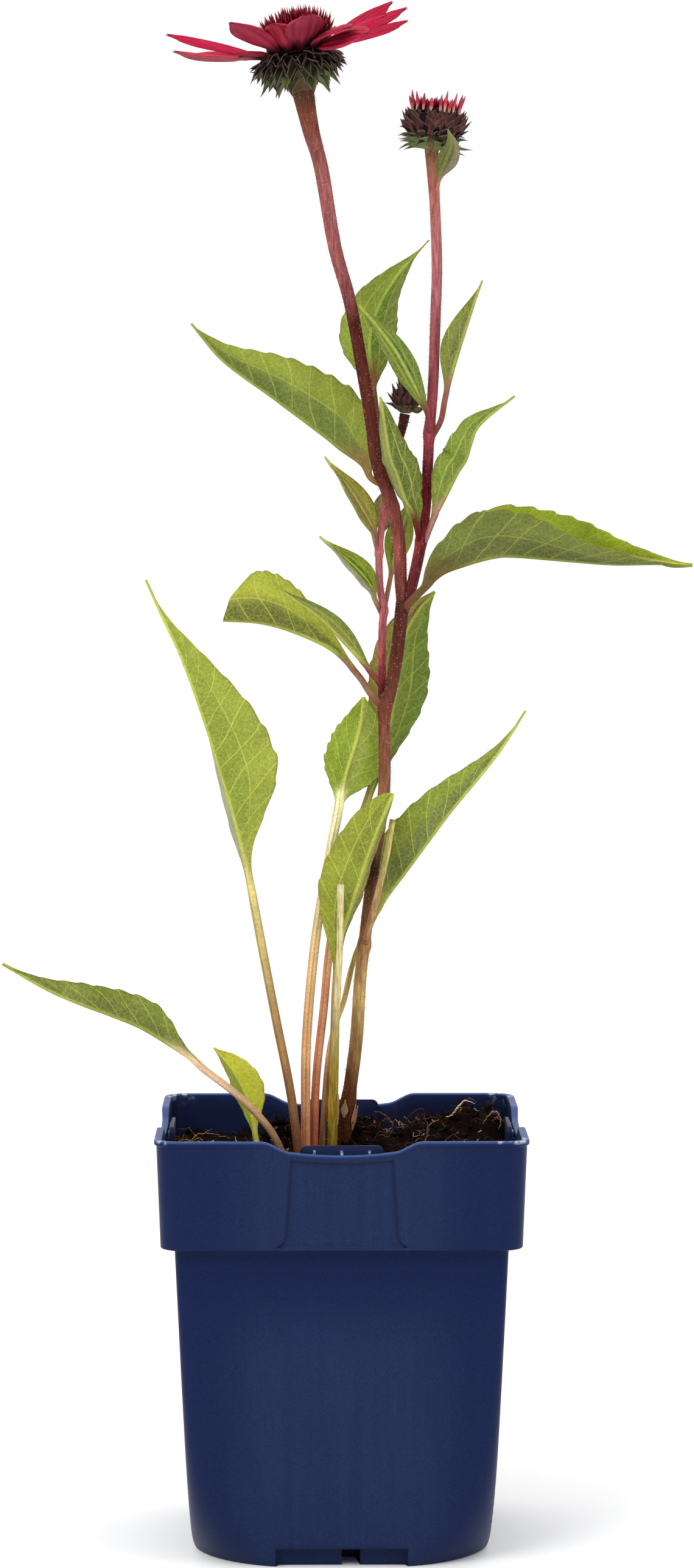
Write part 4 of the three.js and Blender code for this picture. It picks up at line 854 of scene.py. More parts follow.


# ---------------------------------------------------------------- stems

# Each stem: its path, its radius at shares of its length, and its colours at shares of its length. The
# colours hold painted shade as well as the stem's own colour; the dark band half way up the first stem is a
# painted shadow.
STEMS = (
    {"path": ((1.5, 0, 146), (2, 0, 161), (3, 0, 170), (6, 0, 193), (7.5, 0, 216), (9, 0, 229),
              (10.5, 0, 242), (13, 0, 262), (16.5, 0, 286), (17, 0, 303), (17, 0, 320), (19, 0, 327),
              (21.5, 0, 340), (24, 0, 362)),
     "radii": ((0, 3.1), (0.1, 3.3), (0.13, 2.6), (0.37, 2.3), (0.385, 2.9), (0.4, 2.35), (0.79, 2.3),
               (0.81, 2.9), (0.84, 2.4), (1, 2.6)),
     "tones": ((0, "#391f0d"), (0.12, "#6d391d"), (0.28, "#c1a066"), (0.42, "#956545"), (0.52, "#3b1e15"),
               (0.62, "#966346"), (0.8, "#6e3b2f"), (0.9, "#56291b"), (1, "#49211c"))},
    {"path": ((24, 0, 358), (23, 0, 370), (22.5, 0, 384), (20.5, -0.5, 396), (17, -1, 407), (13.5, -2, 417),
              (11.8, -3, 430), (8.6, -4, 449), (3.6, -6, 476), (-2.2, -7, 497), (-7.2, -8, 526),
              (-11.2, -9, 541), (-14.4, -10, 556.7)),
     "radii": ((0, 2.3), (0.24, 2.6), (0.26, 3), (0.29, 2.4), (0.6, 2.4), (0.88, 2.75), (0.95, 3.5),
               (1, 4.3)),
     "tones": ((0, "#462220"), (0.1, "#8d4840"), (0.2, "#7f4039"), (0.26, "#59291f"), (0.55, "#501f15"),
               (0.64, "#874949"), (0.8, "#975855"), (0.95, "#6e3b2c"), (1, "#4c3021"))},
    {"path": ((24, 0, 358), (27, 0, 367), (30.5, 0, 383), (32.5, 1, 398), (33.5, 2, 415), (34, 2, 426),
              (35.5, 3, 445), (36.5, 4, 473), (37, 4, 490), (36.3, 5, 512), (35, 5, 534.5)),
     "radii": ((0, 2.1), (0.14, 2.2), (0.16, 2.5), (0.19, 2.1), (0.37, 2), (0.39, 2.5), (0.42, 2), (0.9, 2),
               (1, 2.6)),
     "tones": ((0, "#411c1d"), (0.15, "#832f32"), (0.24, "#84262f"), (0.32, "#7a2831"), (0.42, "#9e464f"),
               (0.6, "#a1585c"), (0.72, "#a76267"), (0.93, "#a56358"), (1, "#765536"))},
    {"path": ((17.5, 0, 318), (16, 1.5, 324), (16, 4, 331), (16, 6, 341), (16.2, 7, 352), (16.6, 7, 359),
              (15.2, 7.5, 368), (15, 8, 382), (17, 8.5, 397), (20.5, 11, 416), (24, 12, 429),
              (25, 12, 434)),
     "radii": ((0, 1.6), (0.33, 1.5), (0.35, 2), (0.38, 1.4), (0.52, 1.4), (0.54, 1.9), (0.57, 1.35),
               (0.9, 1.5), (1, 2)),
     "tones": ((0, "#713b32"), (0.1, "#822e2d"), (0.2, "#ac4c52"), (0.45, "#bd7074"), (0.65, "#b76362"),
               (0.76, "#5d261e"), (1, "#4a2724"))},
)
# Cut remains of removed shoots: a pale green stem from the soil and a brown stalk on the main stem.
STUBS = {
    "stub_green":
    {"path": ((-3.6, -12, 147), (-3, -14, 172), (-2, -16, 197), (-0.5, -17.5, 229), (0, -18, 254.5)),
     "radii": ((0, 2), (0.3, 1.8), (0.5, 1.3), (1, 1.25)),
     "tones": ((0, "#665921"), (0.2, "#af902a"), (0.36, "#a28d39"), (0.6, "#cfbe89"), (0.95, "#cfc48d"),
               (1, "#decfae"))},
    "stub_brown":
    {"path": ((9.6, 0, 229), (10, -4.4, 234), (13.2, -6.6, 246), (17.5, -6.6, 264), (20, -6, 278.5)),
     "radii": ((0, 1.3), (1, 1.15)),
     "tones": ((0, "#966140"), (0.3, "#b48b65"), (0.7, "#b6a465"), (0.96, "#d0be6a"), (1, "#a37f4e"))},
}


BRISTLE_RADIUS = 0.085
ROW_STEP = 1.2                                  # distance between the rings of a stem


def banded(tones, share):
    """Colour at a share of the length, in straight blends between the bands."""
    places = [place for place, _ in tones]
    codes = np.array([shade(code) for _, code in tones])
    return np.stack([np.interp(share, places, codes[:, k]) for k in range(4)], -1)


def stem(skin, form, sides=20):
    """One stem: a ribbed tube along its curve, mottled along its length over its table's colours, painted
    shade among them.
    """
    _, _, length = along(form["path"], [0])
    rings, share, length = tube_rings(form["path"], form["radii"], round(length / ROW_STEP), sides)
    paint = np.repeat(banded(form["tones"], share)[:, None], sides, axis=1)
    turn = np.arange(sides)[None] / sides
    streak = rough(share[:, None] * length / 8 + 0 * turn, np.abs(turn - 0.5) * 14, 1, 5)
    fleck = rough(share[:, None] * length, np.abs(turn - 0.5) * 34, 1.6, 6)
    skin.grid(rings, paint=dimmed(paint, 1 + 0.24 * streak + 0.14 * fleck))


def bristles(skin, form, draw, per_mm, long):
    """Short stiff hairs that stand out of a stem at random, leaning up."""
    _, _, length = along(form["path"], [0])
    count = int(length * per_mm)
    share = draw.uniform(0, 1, count)
    point, way, _ = along(form["path"], share)
    side = upright(way, (1, 0, 0))
    deep = np.cross(way, side)
    turn = draw.uniform(0, 2 * math.pi, count)[:, None]
    out = np.cos(turn) * side + np.sin(turn) * deep
    radius = np.interp(share, [s for s, _ in form["radii"]], [r for _, r in form["radii"]])[:, None]
    root = point + out * radius * 0.93
    tip = point + out * (radius + long * draw.uniform(0.5, 1.2, (count, 1)))
    tip = tip + way * draw.uniform(-0.1, 0.7, (count, 1))
    skin.tubes(quills(root, tip, BRISTLE_RADIUS), paint=shade("#cbb9a8"))


def torn_sheath(skin):
    """Pale dry remains of a leaf base round the foot of the main stem: short torn ribbons."""
    for turn, low, high, lean in ((200, 160, 172, 0.6), (255, 163, 170, 1.1), (320, 158, 168, 0.4),
                                  (20, 160, 167, 0.8)):
        c, s = heading(turn)
        path = ((2 + 3.2 * c, 3.2 * s, low), (2.4 + 3.5 * c, 3.5 * s, (low + high) / 2),
                (2.9 + (3.3 + lean) * c, (3.3 + lean) * s, high))
        form = {"path": path, "side": (-s, c, 0), "over": (c, s, 0), "halves": ((8, 0), (172, 180)),
                "width": 1.5, "stalk": 0.05, "stalkHalf": 0.5, "peak": 0.3, "rib": 0.2}
        rings, _ = blade(form, 14, 4, thick=0.25, edge=0.1)
        skin.grid(rings, paint=shade("#c9a684" if turn < 300 else "#a67a58"))


def stem_rind():
    """Herb stem rind: finely grooved and matt, streaked lengthwise, with pale breathing dots."""
    material, tree = finish_of("Herb Stem Rind")
    paint = add(tree, "Attribute", {"attribute_name": "paint"})
    here = add(tree, "TexCoord").outputs["Object"]
    long = add(tree, "Mapping", Vector=here, Scale=(1, 1, 0.12))
    groove = add(tree, "TexNoise", Vector=long, Scale=1500, Detail=3)
    shift = add(tree, "MapRange", LINEAR, groove, 0.3, 0.7, 0.62, 1.32)
    colour = add(tree, "Mix", STAINED, 1.0, _6=paint, _7=shift)
    short = add(tree, "Mapping", Vector=here, Scale=(1, 1, 0.6))
    dots = add(tree, "TexVoronoi", Vector=short, Scale=900)                     # dots 1.1 mm apart
    dot = add(tree, "MapRange", SMOOTH, dots.outputs["Distance"], 0.1, 0.24, 0.42, 0.0)
    some = add(tree, "MapRange", LINEAR, dots.outputs["Color"], 0.35, 0.75)
    dot = add(tree, "Math", "MULTIPLY", dot, some)
    colour = add(tree, "Mix", LAID, dot, _6=colour, _7=shade("#c9a68c"))
    close(tree, colour, 0.5, 0.08, 0.45, 0.0003, groove)
    return material


# ---------------------------------------------------------------- leaves

# Each leaf: its path, the angles of its two half-blades in degrees at the base and at the tip, the widest
# reach of a half ("width") and its shape in the order of LEAF_SHAPE, which starts with the stalk's share
# of the length. "veins" says how far they stand out. The tones are the first half's outside and beside
# its midrib, the other half's likewise, and the stalk's foot, middle and end. They were fitted leaf by
# leaf and hold painted light and shade as well as each leaf's own colour; the tone beside the midrib is
# mostly darker, a painted shade where the folded other half lies behind.
LEAF_SHAPE = ("stalk", "stalkHalf", "peak", "rise", "fall", "tooth", "teeth", "wave", "cup")
LEAVES = (
    # long-stalked leaves that rise from the soil
    {"name": "leaf_tall_left",
     "path": ((-15.5, -30, 147), (-19, -27, 174.5), (-24.5, -22, 202), (-29.5, -19, 227.5),
              (-34.5, -18, 254), (-39.5, -19, 276.5), (-46, -21, 299), (-52, -22, 318), (-60, -22, 340),
              (-67.5, -21, 356), (-74, -19, 370.5)),
     "halves": ((0, -10), (140, 60)), "width": (21.5, 17), "veins": 1.0,
     "shape": (0.44, 1.7, 0.4, 1.7, 1.1, 0.7, 6, 0.5, 10),
     "tones": "#8c9828 #7a891b #9c9a81 #9c9a81 #5e321f #a17c4c #cdbc79"},
    {"name": "leaf_behind_left",
     "path": ((-13.5, -24, 147), (-13.5, -20, 170), (-13, -13, 197), (-9.5, -7.5, 233.5), (-4, -5.5, 266),
              (-1.5, -4, 278.5), (1.5, -1.5, 294.5), (7, 2.5, 312.5), (9, 7, 325)),
     "halves": ((32, 25), (205, 195)), "width": (14, 10.5), "veins": 1.0,
     "shape": (0.76, 1.9, 0.42, 0.7, 0.45, 0.6, 5, 0.5, -8),
     "tones": "#7f9618 #8f9c3d #809804 #768b09 #bd7952 #e6ba81 #f2eeb3"},
    {"name": "leaf_behind_stem",
     "path": ((-10.5, -20, 147), (-9.5, -16, 179), (-6.5, -10, 206.5), (-4.5, -4, 226.5), (-1, 1, 247),
              (4.5, 6, 268), (11, 10, 286.5), (17, 13, 305), (21, 15, 323.5), (24, 16, 345), (30, 15, 358),
              (36.5, 11, 365.5)),
     "halves": ((5, -15), (185, 215)), "width": (12, 11), "veins": 0.6,
     "shape": (0.58, 1.6, 0.6, 1.5, 0.5, 0.5, 6, 0.4, 12),
     "tones": "#4d6901 #62730e #83752c #51230f #964935 #d4936b #c2b06f"},
    {"name": "leaf_front_folded",
     "path": ((-4, -7, 147), (-3, -10, 191), (-2, -11.5, 218), (0.3, -12.5, 234.5), (4.4, -13.5, 248),
              (9.8, -14, 264), (14.3, -14, 276), (20, -13, 289)),
     "side": LEFT, "halves": ((0, 5), (150, 135)), "width": (14.5, 4), "veins": 0.85,
     "shape": (0.46, 1.2, 0.52, 1.2, 0.27, 0.4, 4, 0.3, 6),
     "tones": "#888f17 #6f7806 #70673c #948f1f #5c3c1e #96703c #b4a46c"},
    {"name": "leaf_tall_right",
     "path": ((-8, -16, 147), (-4.6, -4.5, 190), (1, 1, 209), (4.5, 5.4, 223), (8.5, 6.6, 231),
              (12.5, 6, 239), (18, 5, 248.5), (25.5, 4, 258.5), (32.5, 3, 268), (43, 1.5, 282),
              (53, 0, 294), (62, -1, 305.5), (71, -2, 320)),
     "side": UP, "halves": ((5, -5), (75, 60)), "width": (15.5, 13), "veins": 0.95,
     "shape": (0.46, 1.2, 0.3, 0.8, 0.9, 0.5, 6, 0.4, 8),
     "tones": "#76881f #5f6c2f #718125 #718125 #522b16 #f0b478 #bebd61"},
    {"name": "leaf_low_left",
     "path": ((-19.5, -33, 147), (-26, -34, 161.5), (-37.5, -37, 175), (-51.5, -40, 186.5),
              (-58.5, -42, 192.5), (-73.5, -46, 202.5), (-85.5, -49, 208), (-97, -52, 212.5),
              (-110.5, -54, 218.5), (-126.5, -56, 228)),
     "side": UP, "halves": ((5, -15), (60, 20)), "width": (10, 11), "veins": 0.75,
     "shape": (0.38, 1.5, 0.35, 1.2, 0.7, 0.5, 6, 0.5, 8),
     "tones": "#5e6b12 #555f1b #586a10 #586a10 #45201e #d0a37b #f1d0a3"},
    {"name": "leaf_small_low",
     "path": ((-30.5, -25, 147), (-33, -23.5, 161), (-36, -22.5, 174), (-41.5, -22, 184),
              (-48.5, -22, 192.5)),
     "halves": ((5, -10), (150, 120)), "width": (7.6, 7),
     "shape": (0.24, 1.1, 0.5, 0.8, 0.5, 0.3, 4, 0.3, 8),
     "tones": "#c2bf2c #bfc311 #a1a81a #a1a81a #a3674c #d7b56d #b8b14d"},
    # leaves that clasp the flowering stems
    {"name": "leaf_upper_left",
     "path": ((17, -1, 406.5), (12, 1, 409.5), (8.5, 2, 415), (0, 3, 421), (-7, 3, 426.5), (-25.5, 3, 440),
              (-45, 0, 454), (-57, -3, 468)),
     "side": UP, "halves": ((0, -8), (75, 60)), "width": (20, 16), "veins": 0.5,
     "shape": (0.06, 1.2, 0.3, 0.6, 0.62, 0.8, 6, 0.6, 10),
     "tones": "#7d8a1c #4f5f13 #546710 #546710 #634428 #745733 #7d683a"},
    {"name": "leaf_upper_back",
     "path": ((17.5, 1, 407), (15, 5.5, 420), (14, 8, 434), (12.5, 10, 447), (11.5, 14, 462),
              (14.5, 16, 474), (22, 14.5, 487), (34, 9, 500.5)),
     "halves": ((-15, -70), (200, 155)), "width": (10.5, 12),
     "shape": (0.36, 1, 0.36, 0.6, 1.1, 0.4, 6, 0.5, 8),
     "tones": "#5c6b1d #4c7402 #728419 #7c941f #662b1d #713c27 #805537"},
    {"name": "leaf_upper_front",
     "path": ((34, 1, 427), (33, -4, 434), (30, -6, 440.5), (27, -7, 446.5), (20.5, -8, 458),
              (12.5, -8, 468.5), (6.5, -7.5, 475)),
     "halves": ((-20, -10), (215, 200)), "width": 5,
     "shape": (0.12, 0.9, 0.45, 0.7, 0.6, 0, 5, 0.2, 0),
     "tones": "#476405 #204100 #525f01 #3a5901 #8e3f47 #893e46 #80363a"},
    {"name": "leaf_front_upright",
     "path": ((30.5, 0, 385), (29, -5.5, 391.5), (27, -8, 397.5), (24.5, -10, 401.5), (21.5, -12, 410.5),
              (18.5, -13, 418.5), (15, -11, 440)),
     "halves": ((15, 15), (125, 120)), "width": (9.5, 9),
     "shape": (0.1, 1, 0.42, 0.7, 0.5, 0.4, 5, 0.3, 10),
     "tones": "#4c5a04 #384602 #798043 #858055 #6a2221 #67221f #62261e"},
    {"name": "leaf_bud_right",
     "path": ((34.5, 2, 425), (38, 0, 431.5), (39.5, -1, 439.5), (41.5, -2, 447.5), (45.5, -3, 460),
              (54, -3, 484.5)),
     "side": LEFT, "halves": ((-15, -5), (75, 60)), "width": (7, 6),
     "shape": (0.28, 0.9, 0.42, 0.7, 0.8, 0, 5, 0.2, 0),
     "tones": "#626b15 #545526 #636b20 #636b20 #7c4241 #7c453c #885849"},
    {"name": "leaf_right_mid",
     "path": ((32, 0, 385), (35.5, -2, 394), (38.5, -3, 400), (44, -4, 410.5), (47.5, -5, 416),
              (50, -5, 423.5), (53.5, -5, 430), (66.5, -3, 440.5)),
     "side": UP, "halves": ((-10, -5), (60, 75)), "width": (9.5, 7),
     "shape": (0.12, 1, 0.4, 0.7, 0.9, 0.3, 5, 0.4, 10),
     "tones": "#687e17 #5d7017 #627819 #627819 #b88989 #ac7574 #af7f6f"},
    {"name": "leaf_big_right",
     "path": ((24.5, -0.5, 359.5), (30.5, -6, 366), (38, -8, 373), (46.5, -10, 376.5), (57.5, -12, 379.5),
              (66, -13, 380), (87, -15, 378), (104, -17, 376.5), (120.5, -18, 376.5), (133.5, -18, 376)),
     "side": UP, "halves": ((-5, -95), (62, -5)), "width": (18.2, 21), "veins": 0.45,
     "shape": (0.1, 1.6, 0.3, 0.5, 0.68, 0.8, 7, 0.8, 8),
     "tones": "#596419 #424a15 #819320 #b5ad59 #733f2e #63492b #604f2c"},
    {"name": "leaf_small_left_high",
     "path": ((15.2, 7.5, 379), (12.5, 5, 389), (7.5, 3, 398), (2.5, 2, 406), (-6, 0, 417.5)),
     "halves": ((-115, -110), (10, 5)), "width": (5, 5.5),
     "shape": (0.12, 0.8, 0.4, 0.8, 0.8, 0, 5, 0.2, 0),
     "tones": "#8d8749 #8e7155 #837c30 #7a723a #a46c6a #b27374 #976060"},
    {"name": "leaf_small_right_high",
     "path": ((15, 8, 380), (15.5, 12, 387), (17.5, 15, 395.5), (18.5, 16.5, 401.5), (20, 15.5, 408.5)),
     "halves": ((0, 0), (190, 190)), "width": 5.3,
     "shape": (0.25, 0.8, 0.5, 0.8, 0.8, 0, 5, 0.2, 0),
     "tones": "#776748 #6e6142 #796b48 #796b48 #7c5848 #7c5848 #7c5848"},
    {"name": "leaf_small_left_low",
     "path": ((16.4, 7, 356.5), (13.5, 4, 362.5), (11, 2, 368.5), (6, 0, 374.5), (-8, -2, 387)),
     "halves": ((-120, -110), (10, 5)), "width": (4.5, 5),
     "shape": (0.15, 0.8, 0.4, 0.8, 0.8, 0, 5, 0.2, 0),
     "tones": "#96917e #3d6b01 #6e7924 #405f06 #793639 #7c4b3d #9c8653"},
    {"name": "leaf_small_right_low",
     "path": ((16.5, 7.5, 356.5), (19.5, 13, 371.5), (22, 15.5, 383.5), (25, 17, 394), (27.5, 17, 402.5)),
     "halves": ((10, 0), (180, 190)), "width": 5.3,
     "shape": (0.3, 0.9, 0.5, 0.8, 0.8, 0, 5, 0.2, 0),
     "tones": "#8c9430 #416300 #8dae23 #4a5e02 #925c4c #9a654d #9b6b4e"},
    {"name": "leaf_blunt_left",
     "path": ((16.5, 0.3, 321.5), (12, -1.6, 326.5), (7, -3, 334), (-3, -6, 344), (-17, -8, 350.5),
              (-30, -9, 354), (-45, -9, 355)),
     "side": UP, "halves": ((0, -5), (40, 35)), "width": (19.5, 21),
     "keep": 0.66, "waves": 2.5, "notch": (0, 0.03, 0.12), "veins": 0.85,
     "shape": (0.25, 1.2, 0.55, 0.9, 0.8, 0.6, 6, 0.9, 10),
     "tones": "#9a9e1f #56590d #8f9317 #8f9317 #753734 #856548 #85614c"},
    {"name": "leaf_narrow_left",
     "path": ((16, 2.5, 327), (14.5, -1, 331.5), (11, -5.5, 336), (6, -10, 342), (0, -13.5, 348.5),
              (-6, -15.5, 354.5), (-12.5, -16.5, 359.5), (-20, -16.5, 364.5), (-26, -15.5, 370)),
     "side": UP, "halves": ((-15, -20), (50, 40)), "width": (5, 4.5),
     "shape": (0.15, 0.9, 0.45, 0.8, 0.8, 0, 5, 0.2, 0),
     "tones": "#536211 #6d6921 #606817 #606817 #792926 #652121 #853f37"},
    {"name": "leaf_bud_bract",
     "path": ((37, 4.5, 519.5), (38, -1, 525), (40, -6.5, 530), (41.8, -11.5, 535), (40.6, -13, 541)),
     "halves": ((-5, -10), (165, 160)), "width": (4.6, 3.4), "veins": 0.25,
     "shape": (0.12, 0.8, 0.5, 0.7, 0.6, 0, 5, 0, 0),
     "tones": "#7a6962 #38370e #46490d #322f0e #b26460 #ab685e #a36b59"},
)
VEIN_STRENGTH = 0.7
NERVE = 0.46                                    # share of a half where its side nerve runs
VEIN_SPACING = 9
STALK_FURROW_SHADE = (0.5, 0.24)                           # painted shade of a furrow along a stalk: side step and half width


def side_veins(at):
    """Count of side veins passed from the base: they leave the midrib every 9 mm and sweep forward,
    wander by a third of that, and the two halves are out of step."""
    wander = 0.3 * rough(at["along"], 14 * at["half"] + 3 * at["w"], 11, 12)
    return at["along"] / VEIN_SPACING - 1.7 * at["w"]**0.85 + 0.4 * at["half"] + wander


def quilting(at):
    """Tissue swells between the side veins and between midrib and side nerve."""
    cell = np.abs(np.sin(np.pi * side_veins(at)))**0.7 * np.abs(np.sin(np.pi * at["w"] / NERVE / 1.02))**0.6
    return 0.32 * cell * step(0, 0.08, at["w"]) * step(1, 0.9, at["w"])


def leaf(form, looks):
    """One leaf with its stalk: a folded blade, quilted between veins, with its colours painted on."""
    form = {**form, **dict(zip(LEAF_SHAPE, form["shape"]))}
    _, _, length = along(form["path"], [0])
    rows = int(np.clip(length * 1.05, 50, 170))
    columns = int(np.clip(max(np.broadcast_to(form["width"], 2)) * 0.85, 7, 16))
    rings, at = blade(form, rows, columns, quilting, 0.5, 0.22)
    tones = form["tones"].split()
    outer, inner, far_outer, far_inner = (shade(code) for code in tones[:4])
    stalk = tuple(zip((0.05, 0.5, 0.95), tones[4:]))
    # Painted shade: each half's inner tone, mostly the darker one, lies beside the midrib where the other
    # half lies behind.
    outside = step(0.3, 0.62, at["w"] + 0.06 * rough(at["along"], at["across"], 7, 3))
    far = at["half"] * step(0, 0.12, at["w"])
    paint = blend(blend(inner, outer, outside), blend(far_inner, far_outer, outside), far)
    tissue = step(-0.01, 0.16, at["t"] - 0.1 + 0.12 * at["w"])
    up = at["along"] / (length * form["stalk"])
    streak = 0.13 * rough(at["along"] * 0.12, at["across"] * 3, 1.3, 4)
    streak = streak + 0.09 * rough(at["along"] * 0.4, at["across"], 2.5, 14)
    bare = banded(stalk, up) * (1 + streak)[..., None]
    # Painted shade: a dark line down the stalk where its furrow lies.
    furrow_shade = np.exp(-((at["across"] - STALK_FURROW_SHADE[0]) / STALK_FURROW_SHADE[1]) ** 2)
    bare = blend(bare, shade("#5a3220"), 0.5 * furrow_shade)
    bare = blend(bare, shade("#8a3a3e"), 0.3 * step(0.6, 0.95, at["w"]))
    paint = blend(bare, paint, tissue)
    paint = blend(paint, shade("#98a070"), 0.18 * at["under"] * tissue)
    cloud = 0.15 * rough(at["along"], at["across"], 11, 7)
    paint = dimmed(paint, 1 + cloud + 0.08 * rough(at["along"], at["across"], 3, 8))
    nerve = np.abs(at["w"] - NERVE) * np.max(np.broadcast_to(form["width"], 2)) / 1.3
    veins = np.stack([side_veins(at), nerve, tissue * form.get("veins", VEIN_STRENGTH)], -1)
    skin = Skin(paint=4, place=3, veins=3)
    skin.grid(rings, paint=paint, place=placed(at), veins=veins)
    skin.piece(form["name"] + "_blade", looks, "leaf", form["name"])


def leaf_tissue(looks):
    """Coneflower leaf: thin, finely hairy and half matt, with pale sunken veins, a net of small veins
    between them, a thin reddish margin and a few brown flecks near it."""
    material, tree = finish_of("Coneflower Leaf")
    paint = add(tree, "Attribute", {"attribute_name": "paint"})
    place = painted(tree, "place")
    veins = painted(tree, "veins")
    here = add(tree, "TexCoord").outputs["Object"]

    across = add(tree, "Math", "ABSOLUTE", place["Y"])
    midrib = add(tree, "MapRange", SMOOTH, across, 0.35, 1.0, 1.0, 0.0)
    nerve = add(tree, "MapRange", SMOOTH, veins["Y"], 0.08, 0.5, 0.85, 0.0)
    phase = add(tree, "Math", "PINGPONG", veins["X"], 0.5)
    branch = add(tree, "MapRange", SMOOTH, phase, 0.012, 0.055, 0.8, 0.0)
    drift = add(tree, "TexNoise", Vector=here, Scale=110, Detail=1)             # 9 mm wander of the net
    drift = add(tree, "VectorMath", "SCALE", Vector=drift.outputs["Color"], Scale=0.005)
    crooked = add(tree, "VectorMath", "ADD", here, drift)
    net = add(tree, "TexVoronoi", {"feature": "DISTANCE_TO_EDGE"}, Vector=crooked, Scale=looks.net_scale)
    net = add(tree, "MapRange", SMOOTH, net, 0.03, 0.13, 0.27, 0.0)
    line = add(tree, "Math", "MAXIMUM", nerve, branch)
    line = add(tree, "Math", "MAXIMUM", line, net)
    line = add(tree, "Math", "MAXIMUM", line, midrib)
    line = add(tree, "Math", "MULTIPLY", line, veins["Z"])
    pale = add(tree, "Math", "MULTIPLY", line, looks.vein_strength)
    colour = add(tree, "Mix", LAID, pale, _6=paint, _7=(*looks.vein, 1))

    speck = add(tree, "TexNoise", Vector=here, Scale=1100, Detail=4)
    speck = add(tree, "MapRange", LINEAR, speck, 0.3, 0.7, 0.82, 1.18)
    colour = add(tree, "Mix", STAINED, 1.0, _6=colour, _7=speck)
    fleck = add(tree, "TexNoise", Vector=here, Scale=260, Detail=3)
    fleck = add(tree, "MapRange", SMOOTH, fleck, 0.66, 0.72, 0.0, 0.6)
    outside = add(tree, "MapRange", SMOOTH, place["Z"], 0.5, 1.0)
    fleck = add(tree, "Math", "MULTIPLY", fleck, outside)
    margin = add(tree, "MapRange", SMOOTH, place["Z"], 0.97, 0.998, 0.0, 0.5)
    margin = add(tree, "Math", "MAXIMUM", margin, fleck)
    margin = add(tree, "Math", "MULTIPLY", margin, veins["Z"])
    colour = add(tree, "Mix", LAID, margin, _6=colour, _7=(*looks.margin, 1))

    height = add(tree, "Math", "SUBTRACT", 1.0, line)
    close(tree, colour, 0.5, 0.08, 0.5, 0.0006, height)
    return material


# ---------------------------------------------------------------- flower heads

def head_frame(centre, lean):
    """A head's middle and its own right, back and up directions, leaning sideways by `lean` degrees."""
    c, s = heading(lean)
    return np.array(centre, float), np.array([[c, 0, -s], [0, 1, 0], [s, 0, c]])


def around(head, azimuth, radius, height):
    """Points of a head from azimuth in degrees, radius and height above its middle."""
    a = np.radians(azimuth)
    local = np.stack(np.broadcast_arrays(radius * np.cos(a), radius * np.sin(a), height), -1)
    return head[0] + local @ head[1]


def across(head, azimuth):
    """Direction across a floret or a bract that stands at that azimuth of a head."""
    return around(head, azimuth + 90, 1, 0) - around(head, 0, 0, 0)


FLOWER = head_frame((-16.7, -10, 569.4), -10)
DISC = head_frame((-15.5, -10, 569.6), -10)
BUD = head_frame((35, 5, 535.2), 6)
SMALL_BUD = head_frame((25.1, 12, 434.4), 3)
RAY_ROOT = 12
FURROWS = 2.3                                   # furrows in each half of a ray floret
FURROW_DEPTH = 0.42

# Ray florets of the open flower: azimuth, lift in degrees, length, half-width, arch, roll in degrees.
RAYS = [
  [180, 24, 39, 5.2, 0.5, -20], [152, 16, 32, 5, 1, 0], [197, 12, 37, 5.2, -1, 0],
  [215, 9, 16, 4, 0.5, 0], [238, 20.5, 34, 6, 1.5, 0], [257, 22, 24, 5.2, 2.4, 0],
  [278, 15.5, 34, 7.4, 2.2, 0], [298, 4, 33, 6.2, 2, 14], [305, -1, 36, 7, 1, 30],
  [320, 9, 34, 5.6, 1, 20], [8, 10, 33.2, 5.4, 0.5, 20], [20, 18, 38, 5.4, 1, 20],
  [30, 24.5, 38, 5.4, 1, 20], [60, 9, 36, 5.8, 1.5, 0], [87, 7, 36, 6, 1.5, 0], [114, 9, 36, 5.8, 1.5, 0],
]
RAY_TONES = (
    "#b52045", "#c61e49", "#ad565f", "#852034", "#97203a", "#ad263c", "#90283e", "#943245", "#a53249",
    "#c61e4e", "#97203a", "#a32641", "#99203a", "#90263e", "#94263c", "#97263c",
)


def furrow_wave(at):
    """The wave across each half of a floret whose troughs are its furrows."""
    return np.cos(2 * np.pi * FURROWS * at["w"])


def furrows(at):
    """Furrows down each half of a floret, deeper away from its root."""
    return FURROW_DEPTH * furrow_wave(at) * step(0, 0.3, at["t"])


def ray_floret(skin, ray, tone, k):
    """One ray floret: a strap with lengthwise furrows that bends over its arch to a notched tip."""
    azimuth, lift, length, half_width, arch, roll = ray
    reach, rise = length * np.array(heading(lift))
    stops = ((0, 0), (0.35, arch), (0.7, arch), (1, 0))
    path = [around(FLOWER, azimuth, RAY_ROOT + reach * u, rise * u + bend) for u, bend in stops]
    form = {"path": path, "side": across(FLOWER, azimuth), "over": FLOWER[1][2],
            "halves": ((14 + roll, roll), (166 + roll, 180 + roll)),
            "width": half_width, "stalk": 0.08, "stalkHalf": 1.8, "peak": 0.55, "rise": 0.32,
            "fall": 0.4, "keep": 0.985, "rib": 0.4, "notch": (0.05, 0.0, 0.06), "cup": -14}
    rings, at = blade(form, 56, 9, furrows, 0.5, 0.24)
    streak = rough(at["across"] + 20 * k, at["along"] * 0.05, 0.55, k)
    paint = blend(shade(tone), shade("#b84c60"), np.clip(0.14 + 0.2 * streak, 0, 1))
    # Painted shade in the furrows' troughs, growing over the first half of the floret.
    trough = 0.5 - 0.5 * furrow_wave(at)
    paint = blend(paint, shade("#5a0a1c"), 0.42 * trough * step(0, 0.5, at["t"]))
    paint = blend(paint, shade("#c4123e"), (1 - at["under"]) * 0.5)
    paint = blend(paint, shade("#a84a5c"), at["under"] * 0.2 * step(0.2, 1, at["t"]))
    # Painted shade: near-black at the root, where the florets sit under the bracts.
    paint = blend(paint, shade("#1c060a"), step(0.24, 0.02, at["t"]) * 0.9)
    skin.grid(rings, paint=paint, place=placed(at, 31 * k))


